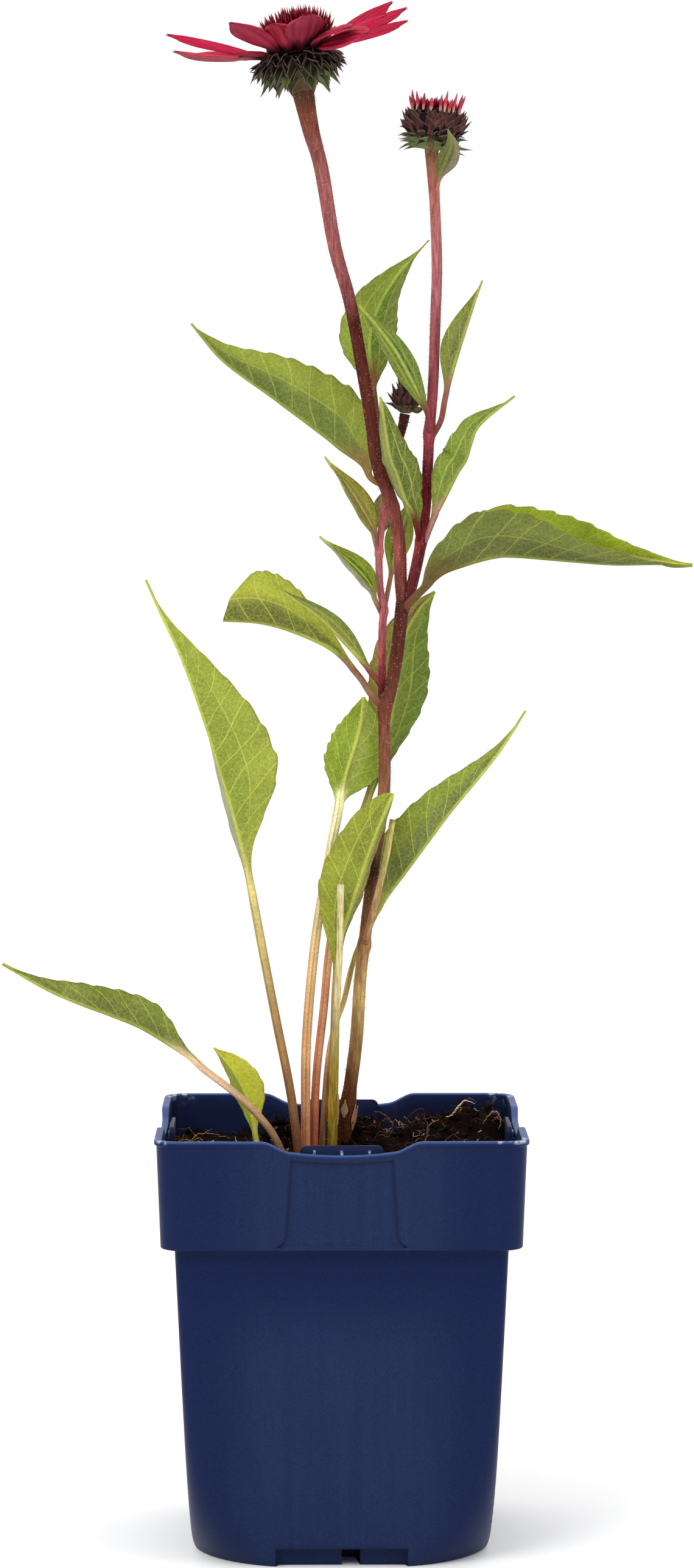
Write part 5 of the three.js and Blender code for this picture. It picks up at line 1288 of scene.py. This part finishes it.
def dome(skin, head, profile, sides, tones, dent=0.0):
    """A solid of revolution through [radius, height] points, its surface dented by fixed draws."""
    shares = np.linspace(0, 1, 40)
    line, _, _ = along([(r, 0, z) for r, z in profile], shares)
    turn = np.linspace(0, 360, sides, endpoint=False)[None]
    radius, height = np.maximum(line[:, :1], 0.05), line[:, 2:]
    radius = radius * (1 + dent * rough(height * 3, turn / 12, 1, 9))
    paint = np.repeat(banded(tones, shares)[:, None], sides, axis=1)
    skin.grid(around(head, turn, radius, height), paint=paint)


def plate(skin, head, profile, rows, sides, code):
    """A plain disc of one colour that the rays stand on: a solid of revolution like a dome."""
    line, _, _ = along([(r, 0, z) for r, z in profile], np.linspace(0, 1, rows))
    turn = np.linspace(0, 360, sides, endpoint=False)[None]
    skin.grid(around(head, turn, line[:, :1], line[:, 2:]), paint=shade(code), place=(0.0, 0.0, 0.0))


def cup(skin, head, profile, sides, tones, dent, rows, draw):
    """The base of a head: its solid heart and the rows of bracts on it."""
    dome(skin, head, profile, sides, tones, dent)
    for row in rows:
        bract_row(skin, head, row, draw)


SPINDLE = np.array([0.7, 0.95, 1.0, 0.92, 0.78, 0.56, 0.3, 0.06])      # thickness along a scale
GOLDEN_ANGLE = 137.5


def chaff(skin, head, circles, width, tones, draw, curve=0.5):
    """Stiff scales of the disc, in circles of count, radius, height, lean and length, each turned on
    by the golden angle: spindles of six sides that swell to their middle, narrow to a sharp tip and
    bend inwards over their length."""
    for k, (count, radius, height, lean, length) in enumerate(circles):
        azimuth = 360 * (np.arange(count) + 0.5 * draw.random(count)) / count + GOLDEN_ANGLE * k
        long = length * draw.uniform(0.85, 1.15, count)
        tilt = np.radians(lean + draw.normal(0, 4, count))
        u = np.linspace(0, 1, 8)[None]
        out = radius + np.sin(tilt)[:, None] * long[:, None] * (u - curve * 0.35 * u**2)
        up = height + np.cos(tilt)[:, None] * long[:, None] * u
        line = around(head, azimuth[:, None] + 0 * u, out, up)
        way = unit(np.gradient(line, axis=1))
        side = unit(np.cross(way, head[1][0] + 0.01))
        rings = hoops(line, way, side, width * SPINDLE[None], 6)
        paint = banded(tones, u[0])[None, :, None] * np.ones((count, 1, 1, 1))
        skin.tubes(rings, paint=dimmed(paint, draw.uniform(0.75, 1.25, (count, 1, 1))))


def bract_row(skin, head, row, draw):
    """A row of bracts: lance-shaped blades along one [radius, height] line, each a little out of line,
    with stiff pale hairs along both margins."""
    count, line, half_width, turn, tones = row
    line = np.array(line, float)
    for k in range(count):
        azimuth = turn + 360 * k / count + draw.normal(0, 2.5)
        bend, long = draw.normal(0, 0.6, 2), draw.uniform(0.8, 1.08, 3) * (0, 0.5, 1) + (1, 0.5, 0)
        steps = line[0] + (line - line[0]) * long[:, None]
        path = [around(head, azimuth + 0.5 * b * u, r, h + b)
                for (r, h), b, u in zip(steps, (0, *bend), (0, 4, 12))]
        form = {"path": path, "side": across(head, azimuth), "over": head[1][2],
                "halves": ((24, 10), (156, 170)),
                "width": half_width, "stalk": 0.04, "stalkHalf": half_width * 0.6, "peak": 0.3,
                "rise": 0.35, "fall": 1.1, "rib": 0.4, "cup": 14, "tip": 0.04}
        rings, at = blade(form, 16, 4, None, 0.36, 0.16)
        paint = banded(tones, at["t"])
        paint = blend(paint, shade("#8a7a72"), 0.5 * step(0.6, 1, at["w"]) * step(0, 0.3, at["t"]))
        skin.grid(rings, paint=dimmed(paint, draw.uniform(0.75, 1.2)))
        rim = np.concatenate([rings[2:-1, 0], rings[2:-1, 8]])
        inner = np.concatenate([rings[2:-1, 4], rings[2:-1, 4]])
        tip_way = unit(rings[-1, 4] - rings[0, 4])
        out = unit(rim - inner) + 0.9 * tip_way + draw.normal(0, 0.45, rim.shape)
        tip = rim + unit(out) * draw.uniform(0.3, 0.9, (len(rim), 1))
        skin.tubes(quills(rim, tip, HAIR_RADIUS), paint=shade("#b4a69c"))


HAIR_RADIUS = 0.035
DARK_BRACT = ((0, "#3a2c28"), (0.3, "#1c1214"), (0.8, "#160c0e"), (1, "#302424"))
MIXED_BRACT = ((0, "#5c5a38"), (0.4, "#4a5230"), (0.8, "#2c2420"), (1, "#2c2020"))
BUD_SCALE = ((0, "#5e3830"), (0.4, "#56302c"), (0.8, "#3c2220"), (1, "#603e3c"))
GREEN_BRACT = ((0, "#76844a"), (0.5, "#5c6c38"), (0.85, "#4a4c32"), (1, "#2c2420"))
FLOWER_BRACTS = (                               # count, root-to-tip line, half-width, turn, colours
    (19, ((11.6, -2.1), (16.0, -2.1), (19.4, -3.9)), 1.9, 4, DARK_BRACT),
    (18, ((11.4, -3.0), (15.8, -4.0), (18.8, -6.9)), 2.0, 15, DARK_BRACT),
    (17, ((10.8, -4.0), (15.0, -5.8), (17.4, -9.0)), 2.2, 2, DARK_BRACT),
    (15, ((9.6, -5.4), (13.2, -7.8), (15.2, -11.2)), 2.4, 14, MIXED_BRACT),
    (13, ((8.2, -6.8), (11.6, -9.4), (13.4, -12.6)), 2.5, 3, MIXED_BRACT),
    (9, ((7.0, -8.0), (12.4, -10.2), (16.0, -14.0)), 2.9, 9, GREEN_BRACT),
    (8, ((5.0, -9.8), (8.8, -12.6), (11.2, -16.4)), 3.0, 20, GREEN_BRACT),
)
BUD_BRACTS = (
    (7, ((2.8, 0.2), (9.0, 0.4), (13.6, -1.6)), 2.0, 34, GREEN_BRACT),
    (9, ((3.4, 1.0), (9.6, 2.2), (14.9, 1.8)), 2.1, 10, GREEN_BRACT),
    (12, ((5.0, 1.6), (10.6, 4.2), (14.2, 4.4)), 2.3, 0, MIXED_BRACT),
    (14, ((7.6, 3.2), (11.4, 6.8), (14.2, 8.4)), 2.3, 17, DARK_BRACT),
    (16, ((9.2, 4.8), (11.8, 8.8), (14.2, 11.6)), 2.2, 8, BUD_SCALE),
    (17, ((10.0, 6.8), (11.5, 10.4), (13.4, 13.6)), 2.1, 2, BUD_SCALE),
    (18, ((10.1, 8.6), (11.0, 11.8), (12.2, 15.4)), 1.9, 12, BUD_SCALE),
)
SMALL_BUD_BRACTS = (
    (7, ((2.4, 1.2), (6.2, 1.6), (8.8, 3.2)), 1.6, 20, MIXED_BRACT),
    (8, ((3.6, 2.6), (6.6, 6), (8.6, 8.6)), 1.5, 0, BUD_SCALE),
    (8, ((4.2, 5), (5.6, 9), (6.8, 12.2)), 1.4, 18, BUD_SCALE),
    (6, ((2.6, 8.4), (3.0, 11.6), (4.0, 14.2)), 1.1, 5, BUD_SCALE),
)
CUP_TONES = ((0, "#4c3a28"), (0.25, "#5c4c38"), (0.42, "#383024"), (0.6, "#1c1412"), (1, "#1c1214"))
BUD_CUP_TONES = ((0, "#8c6c50"), (0.22, "#6c5c40"), (0.36, "#3c3024"), (0.55, "#1e1414"), (1, "#1a1012"))
CHAFF = ((0, "#34080c"), (0.45, "#560c14"), (0.75, "#882030"), (0.92, "#a85050"), (1, "#6a1c22"))
BUD_CHAFF = ((0, "#34080c"), (0.5, "#5c1018"), (0.8, "#a02c3c"), (1, "#b04858"))
DISC_RINGS = (
    (38, 12.6, 5.2, 48, 4.4), (38, 12.4, 6.6, 40, 5.0), (36, 11.8, 8.2, 32, 5.3), (33, 10.7, 9.5, 25, 5.4),
    (30, 9.3, 10.5, 18, 5.4), (26, 7.7, 11.2, 13, 5.4), (20, 6.0, 11.8, 9, 5.4), (15, 4.3, 12.2, 6, 5.3),
    (9, 2.5, 12.4, 3, 5.2), (4, 0.9, 12.5, 1, 5.2),
)
BUD_DISC_RINGS = ((28, 8.4, 13.6, 10, 3.9), (26, 7.2, 14.2, 9, 4.1), (22, 5.8, 14.7, 7, 4.1),
                  (16, 4.3, 15.1, 5, 4.1), (11, 2.8, 15.4, 3, 4), (5, 1.2, 15.5, 1, 4))


SPINDLE_TONES = ((0, "#e0c8a0"), (0.2, "#dc9088"), (0.38, "#c83450"), (0.64, "#ac4452"), (1, "#a06066"))


def bud_spindle(skin, k, count, draw):
    """An unopened ray of the bud: a narrow spindle, cream at its foot and crimson above, that stands
    up out of the chaff; `k` is its place of `count` round the bud."""
    azimuth = 360 * k / count + draw.normal(0, 5)
    tall, foot = draw.uniform(5.0, 8.6), 8.8 + draw.uniform(-0.3, 0.2)
    lean = draw.uniform(0.6, 2.4)
    path = [around(BUD, azimuth, foot + lean * u**1.5, 13.3 + tall * u) for u in (0, 0.4, 0.75, 1)]
    form = {"path": path, "side": across(BUD, azimuth),
            "over": around(BUD, 0, 0, 0) - around(BUD, azimuth, 1, 0), "halves": ((20, 15), (160, 165)),
            "width": draw.uniform(0.45, 0.8), "stalk": 0.05, "stalkHalf": 0.35, "peak": 0.42, "rise": 0.6,
            "fall": 0.9, "rib": 0.4, "cup": 20, "tip": 0.08}
    rings, at = blade(form, 22, 4, None, 0.6, 0.3)
    paint = banded(SPINDLE_TONES, at["t"])
    skin.grid(rings, paint=paint, place=placed(at, 9 * k))


def petal_skin():
    """Ray floret: velvety crimson, furrowed lengthwise, with fine darker and lighter threads."""
    material, tree = finish_of("Velvet Ray Floret")
    paint = add(tree, "Attribute", {"attribute_name": "paint"})
    place = add(tree, "Attribute", {"attribute_name": "place"})
    long = add(tree, "Mapping", Vector=place.outputs["Vector"], Scale=(0.07, 1.9, 0))
    thread = add(tree, "TexNoise", Vector=long, Scale=1.6, Detail=4)
    tone = add(tree, "MapRange", LINEAR, thread, 0.3, 0.7, 0.6, 1.35)
    colour = add(tree, "Mix", STAINED, 1.0, _6=paint, _7=tone)
    close(tree, colour, 0.5, 0.06, 0.5, 0.0005, thread)
    return material


def hairy_skin(name, gloss, threads):
    """Bract or scale: painted colours under a fine grain; `threads` is its size per metre."""
    material, tree = finish_of(name)
    paint = add(tree, "Attribute", {"attribute_name": "paint"})
    here = add(tree, "TexCoord").outputs["Object"]
    grain = add(tree, "TexNoise", Vector=here, Scale=threads, Detail=3)
    tone = add(tree, "MapRange", LINEAR, grain, 0.3, 0.7, 0.75, 1.3)
    colour = add(tree, "Mix", STAINED, 1.0, _6=paint, _7=tone)
    close(tree, colour, gloss, 0.06, 0.4, 0.0003, grain)
    return material


# ---------------------------------------------------------------- sizes and colours a user may change

def tint(name, code, description):
    """A colour property whose default is an sRGB hex value."""
    return bpy.props.FloatVectorProperty(name=name, description=description, subtype="COLOR", size=3,
                                         min=0, max=1, default=shade(code)[:3])


def number(name, description, default, low, high, **sort):
    """A number property with its limits."""
    return bpy.props.FloatProperty(name=name, description=description, default=default, min=low, max=high,
                                   **sort)


def count(name, description, default, low, high):
    """A whole number property with its limits."""
    return bpy.props.IntProperty(name=name, description=description, default=default, min=low, max=high)


class ConeflowerPotLooks(bpy.types.PropertyGroup):
    """Finish of the pot."""
    plastic: tint("Plastic", "#182447", "Colour of the moulded plastic")
    plastic_light: tint("Lighter Plastic", "#1c294e", "Plastic where the mould left it paler")
    # This colour is painted shade on the same plastic, inside the pot.
    plastic_inside_shade: tint("Inside", "#141d3c", "Plastic of the inner walls and the label tabs")
    # This colour is painted shade below the collar and at the corners, not clean plastic.
    plastic_shade: tint("Plastic Clean", "#0c1a42", "Plastic where no dull film lies on it")
    # This edge colour is a painted highlight along the rim.
    edge: tint("Edge", "#47629c", "Thin translucent edge of the rim")
    scuff: tint("Scuff", "#c3cde6", "Rubbed plastic at the rim's corners")


class ConeflowerSoilLooks(bpy.types.PropertyGroup):
    """Compost in the pot."""
    crumb_count: count("Crumbs", "Loose crumbs on the compost", 1500, 0, 2500)
    fibre_count: count("Fibres", "Loose fibres on the compost", 1300, 0, 1600)


class ConeflowerStemLooks(bpy.types.PropertyGroup):
    """Hairs of the stems."""
    bristle_length: number("Bristle Length", "Length of the stem's hairs", 0.0009, 0.0002, 0.003,
                           unit="LENGTH")
    bristles_per_mm: number("Bristles", "Hairs for each mm of stem", 4.0, 0.0, 12.0)


class ConeflowerLeafLooks(bpy.types.PropertyGroup):
    """Veins and margins of the leaves."""
    vein: tint("Vein", "#c8d05c", "Colour of the veins")
    margin: tint("Margin", "#8a5a3c", "Colour of the leaf's margin")
    vein_strength: number("Vein Strength", "How far the veins stand out", 0.7, 0, 1, subtype="FACTOR")
    net_size: number("Vein Net", "Distance between the small veins", 0.0018, 0.001, 0.01, unit="LENGTH")

    @property
    def net_scale(self):
        """Cells of the vein net for each metre."""
        return 1 / self.net_size


class ConeflowerStageLooks(bpy.types.PropertyGroup):
    """Floor and light."""
    floor: tint("Floor", "#ffffff", "Colour of the floor")
    room: number("Room", "Light of the room beside the white backdrop", 0.4, 0, 2)
    overhead: number("Overhead", "Soft light from above", 0.9, 0, 4)
    key_power: number("Main Light", "Power of the large front light", 17.0, 0, 200, unit="POWER")
    fill_power: number("Fill Light", "Power of the light on the right", 6.0, 0, 200, unit="POWER")


# ---------------------------------------------------------------- operators

class ConeflowerPot(bpy.types.Operator):
    """Build the square nursery pot with its collar, dipped rim, panels, notches and label tabs"""
    bl_idname = "coneflower.pot"
    bl_label = "Pot"

    def execute(self, context):
        skin = Skin(wear=3)
        pot_surface(skin)
        label_tabs(skin)
        skin.piece("pot_moulded", moulded_plastic(context.scene.coneflower_pot), "pot", "pot")
        return {"FINISHED"}


class ConeflowerSoil(bpy.types.Operator):
    """Fill the pot with peat compost, and scatter crumbs, fibres, roots and wood chips over it"""
    bl_idname = "coneflower.soil"
    bl_label = "Compost"

    def execute(self, context):
        looks = context.scene.coneflower_soil
        skin = Skin(tone=3)
        peat_surface(skin)
        skin.piece("compost_block", compost(), "soil", "soil")
        draw = np.random.default_rng(11)
        skin = Skin(tone=3)
        crumbs(skin, draw, looks.crumb_count)
        skin.piece("compost_crumbs", litter(), "soil")
        skin = Skin(tone=3)
        fibres(skin, draw, looks.fibre_count)
        fibres(skin, draw, looks.fibre_count // 5, (3.4, 2.6), (0.05, 0.12), 0.3)
        for path, radius, tone in ROOTS:
            root(skin, draw, path, radius, tone)
        for chip in CHIPS:
            wood_chip(skin, *chip)
        skin.piece("compost_litter", litter(), "soil")
        return {"FINISHED"}


class ConeflowerStems(bpy.types.Operator):
    """Grow the four joined stems with their bristles, and the two cut stubs"""
    bl_idname = "coneflower.stems"
    bl_label = "Stems"

    def execute(self, context):
        looks = context.scene.coneflower_stem
        draw = np.random.default_rng(23)
        rind = stem_rind()
        skin = Skin(paint=4)
        for form in STEMS:
            stem(skin, form)
            bristles(skin, form, draw, looks.bristles_per_mm, looks.bristle_length / MM)
        torn_sheath(skin)
        skin.piece("stems_bristly", rind, "stem", "stems")
        for slot, form in STUBS.items():
            skin = Skin(paint=4)
            stem(skin, form, 16)
            bristles(skin, form, draw, 1.5, 0.5)
            skin.piece(slot + "_cut", rind, slot, slot)
        return {"FINISHED"}


class ConeflowerLeaves(bpy.types.Operator):
    """Grow every leaf, from the soil and from the stems"""
    bl_idname = "coneflower.leaves"
    bl_label = "Leaves"

    def execute(self, context):
        tissue = leaf_tissue(context.scene.coneflower_leaf)
        for form in LEAVES:
            leaf(form, tissue)
        return {"FINISHED"}


class ConeflowerBloom(bpy.types.Operator):
    """Build the open flower: bracts, ray florets and the spiky disc"""
    bl_idname = "coneflower.bloom"
    bl_label = "Open Flower"

    def execute(self, context):
        draw = np.random.default_rng(31)
        green = hairy_skin("Hairy Bract", 0.6, 1300)
        skin = Skin(paint=4)
        profile = ((0.05, -14.6), (4.3, -14.4), (4.7, -12.4), (7.2, -8), (12, -4), (13.5, -2), (13.2, -1.2),
                   (0.05, -1))
        cup(skin, FLOWER, profile, 48, CUP_TONES, 0.04, FLOWER_BRACTS, draw)
        skin.piece("bloom_bracts_leafy", green, "bract", "bloom_bracts")
        skin = Skin(paint=4, place=3)
        # The plate is painted near-black crimson, the same painted shade as the florets' roots.
        plate(skin, FLOWER, ((0.05, -0.7), (9, -0.8), (13.6, -0.6), (14, 0), (13.4, 0.6), (9, 0.7),
                             (0.05, 0.7)), 24, 60, "#1c060a")
        for k, (ray, tone) in enumerate(zip(RAYS, RAY_TONES)):
            ray_floret(skin, ray, tone, k)
        skin.piece("bloom_rays_furrowed", petal_skin(), "ray", "bloom_rays")
        skin = Skin(paint=4)
        heart = ((0.05, 1.0), (10.4, 1.0), (12.6, 4.2), (12.8, 7), (11.2, 9.6), (7, 11.6), (0.05, 12.8))
        dome(skin, DISC, heart, 48, ((0, "#220608"), (1, "#300c10")), 0.05)
        chaff(skin, DISC, DISC_RINGS, 0.46, CHAFF, draw)
        skin.piece("bloom_disc_chaff", hairy_skin("Disc Chaff", 0.45, 2000), "disc", "bloom_disc")
        return {"FINISHED"}


class ConeflowerBuds(bpy.types.Operator):
    """Build the opening bud and the small closed bud"""
    bl_idname = "coneflower.buds"
    bl_label = "Buds"

    def execute(self, context):
        draw = np.random.default_rng(37)
        green = hairy_skin("Bud Bract", 0.6, 1300)
        skin = Skin(paint=4)
        profile = ((0.05, -2.3), (2.4, -2.2), (3, -0.4), (7.6, 2.3), (10, 6), (10.7, 10), (10.1, 12.5),
                   (0.05, 12.6))
        cup(skin, BUD, profile, 40, BUD_CUP_TONES, 0.04, BUD_BRACTS, draw)
        skin.piece("bud_bracts_leafy", green, "bract", "bud_bracts")

        skin = Skin(paint=4, place=3)
        plate(skin, BUD, ((0.05, 12.9), (8.8, 12.9), (9, 13.3), (8.8, 13.7), (0.05, 13.7)), 16, 40,
              "#3a1414")
        for k in range(20):
            bud_spindle(skin, k, 20, draw)
        skin.piece("bud_rays_short", petal_skin(), "ray", "bud_rays")

        skin = Skin(paint=4)
        dome(skin, BUD, ((0.05, 13.9), (7.6, 13.9), (6.4, 15), (0.05, 15.6)), 32,
             ((0, "#220a0e"), (1, "#300c12")), 0.05)
        chaff(skin, BUD, BUD_DISC_RINGS, 0.42, BUD_CHAFF, draw, 0.3)
        skin.piece("bud_disc_chaff", hairy_skin("Bud Chaff", 0.45, 2000), "disc", "bud_disc")

        skin = Skin(paint=4)
        profile = ((0.05, 0), (2, 0.1), (4.1, 2.6), (4.8, 6.4), (3.5, 9.4), (0.05, 10.4))
        cup(skin, SMALL_BUD, profile, 36, BUD_CUP_TONES, 0.05, SMALL_BUD_BRACTS, draw)
        skin.piece("small_bud_leafy", green, "bract", "small_bud")
        return {"FINISHED"}


FLOOR_RADIUS = 4.0                              # the stage is in metres
FLOOR_SIDES = 96
LIT_MIDDLE = np.array([0, 0, 0.3])
CAMERA_AT = (-0.01262, -1.7, 0.3958)
CAMERA_TURN = (86.4994, 0, -0.5087)             # degrees


class ConeflowerStage(bpy.types.Operator):
    """Lay the pale floor, hang the soft studio lights and set the camera"""
    bl_idname = "coneflower.stage"
    bl_label = "Stage"

    def execute(self, context):
        looks = context.scene.coneflower_stage
        scene = context.scene
        scene.view_settings.view_transform = "Standard"

        turn = turns(FLOOR_SIDES)
        rim = FLOOR_RADIUS * np.stack([np.cos(turn), np.sin(turn), 0 * turn], -1)
        mesh = bpy.data.meshes.new("studio_floor")
        mesh.from_pydata(rim.tolist(), [], [list(range(FLOOR_SIDES))])
        material, tree = finish_of("Matt Paper Floor")
        here = add(tree, "TexCoord").outputs["Object"]
        fibre = add(tree, "TexNoise", Vector=here, Scale=500, Detail=2)
        close(tree, (*looks.floor, 1), 0.9, 0.5, 0.05, 0.0005, fibre)
        mesh.materials.append(material)
        floor = bpy.data.objects.new("studio_floor", mesh)
        scene.collection.objects.link(floor)

        world = bpy.data.worlds.new("Soft White Studio")
        scene.world = world
        world.use_nodes = True
        tree = world.node_tree
        tree.nodes.clear()
        way = add(tree, "SeparateXYZ", Vector=add(tree, "TexCoord").outputs["Generated"]).outputs
        ahead = add(tree, "MapRange", SMOOTH, way["Y"], 0.2, 0.9, looks.room, 1.0)
        above = add(tree, "MapRange", SMOOTH, way["Z"], 0.3, 0.9, 0.0, looks.overhead)
        light = add(tree, "Math", "ADD", ahead, above)
        sky = add(tree, "Background", Color=(1, 1, 1, 1), Strength=light)
        add(tree, "OutputWorld", Surface=sky)

        for name, place, size, power in (
            ("key_light", (-0.9, -1.3, 1.5), 1.1, looks.key_power),
            ("fill_light", (1.4, -0.9, 0.8), 1.2, looks.fill_power),
        ):
            lamp = bpy.data.lights.new(name, "AREA")
            lamp.shape, lamp.size, lamp.energy = "DISK", size, power
            thing = bpy.data.objects.new(name, lamp)
            thing.location = place
            way = unit(np.array(place) - LIT_MIDDLE)
            thing.rotation_euler = (math.acos(way[2]), 0, math.atan2(way[1], way[0]) + math.pi / 2)
            scene.collection.objects.link(thing)

        lens = bpy.data.cameras.new("camera")
        lens.lens, lens.sensor_width, lens.sensor_fit = 101.6, 36, "AUTO"
        lens.clip_start, lens.clip_end = 0.05, 20
        camera = bpy.data.objects.new("camera", lens)
        camera.location = CAMERA_AT
        camera.rotation_euler = [math.radians(angle) for angle in CAMERA_TURN]
        scene.collection.objects.link(camera)
        scene.camera = camera
        return {"FINISHED"}


class ConeflowerPanel(bpy.types.Panel):
    """Lists the coneflower's pieces and their sizes and colours"""
    bl_idname = "VIEW3D_PT_coneflower"
    bl_label = "Coneflower"
    bl_space_type = "VIEW_3D"
    bl_region_type = "UI"
    bl_category = "Coneflower"

    def draw(self, context):
        for operator, settings in PIECES:
            self.layout.operator(operator.bl_idname)
            if settings:
                group = getattr(context.scene, settings)
                for name in group.__annotations__:
                    self.layout.prop(group, name)


PIECES = (
    (ConeflowerPot, "coneflower_pot"),
    (ConeflowerSoil, "coneflower_soil"),
    (ConeflowerStems, "coneflower_stem"),
    (ConeflowerLeaves, "coneflower_leaf"),
    (ConeflowerBloom, None),
    (ConeflowerBuds, None),
    (ConeflowerStage, "coneflower_stage"),
)
GROUPS = (
    (ConeflowerPotLooks, "coneflower_pot"),
    (ConeflowerSoilLooks, "coneflower_soil"),
    (ConeflowerStemLooks, "coneflower_stem"),
    (ConeflowerLeafLooks, "coneflower_leaf"),
    (ConeflowerStageLooks, "coneflower_stage"),
)


def register():
    """Registers the settings, the operators and the panel."""
    for group, place in GROUPS:
        bpy.utils.register_class(group)
        setattr(bpy.types.Scene, place, bpy.props.PointerProperty(type=group))
    for operator, _ in PIECES:
        bpy.utils.register_class(operator)
    bpy.utils.register_class(ConeflowerPanel)


def unregister():
    """Takes the panel, the operators and the settings away again."""
    bpy.utils.unregister_class(ConeflowerPanel)
    for operator, _ in reversed(PIECES):
        bpy.utils.unregister_class(operator)
    for group, place in reversed(GROUPS):
        delattr(bpy.types.Scene, place)
        bpy.utils.unregister_class(group)


def corners(box):
    """A box's two corners as plain lists."""
    return [list(corner) for corner in box]


def main():
    """Registers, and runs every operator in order."""
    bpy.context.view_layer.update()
    register()
    for operator, _ in PIECES:
        group, name = operator.bl_idname.split(".")
        getattr(getattr(bpy.ops, group), name)()


if __name__ == "__main__":
    main()
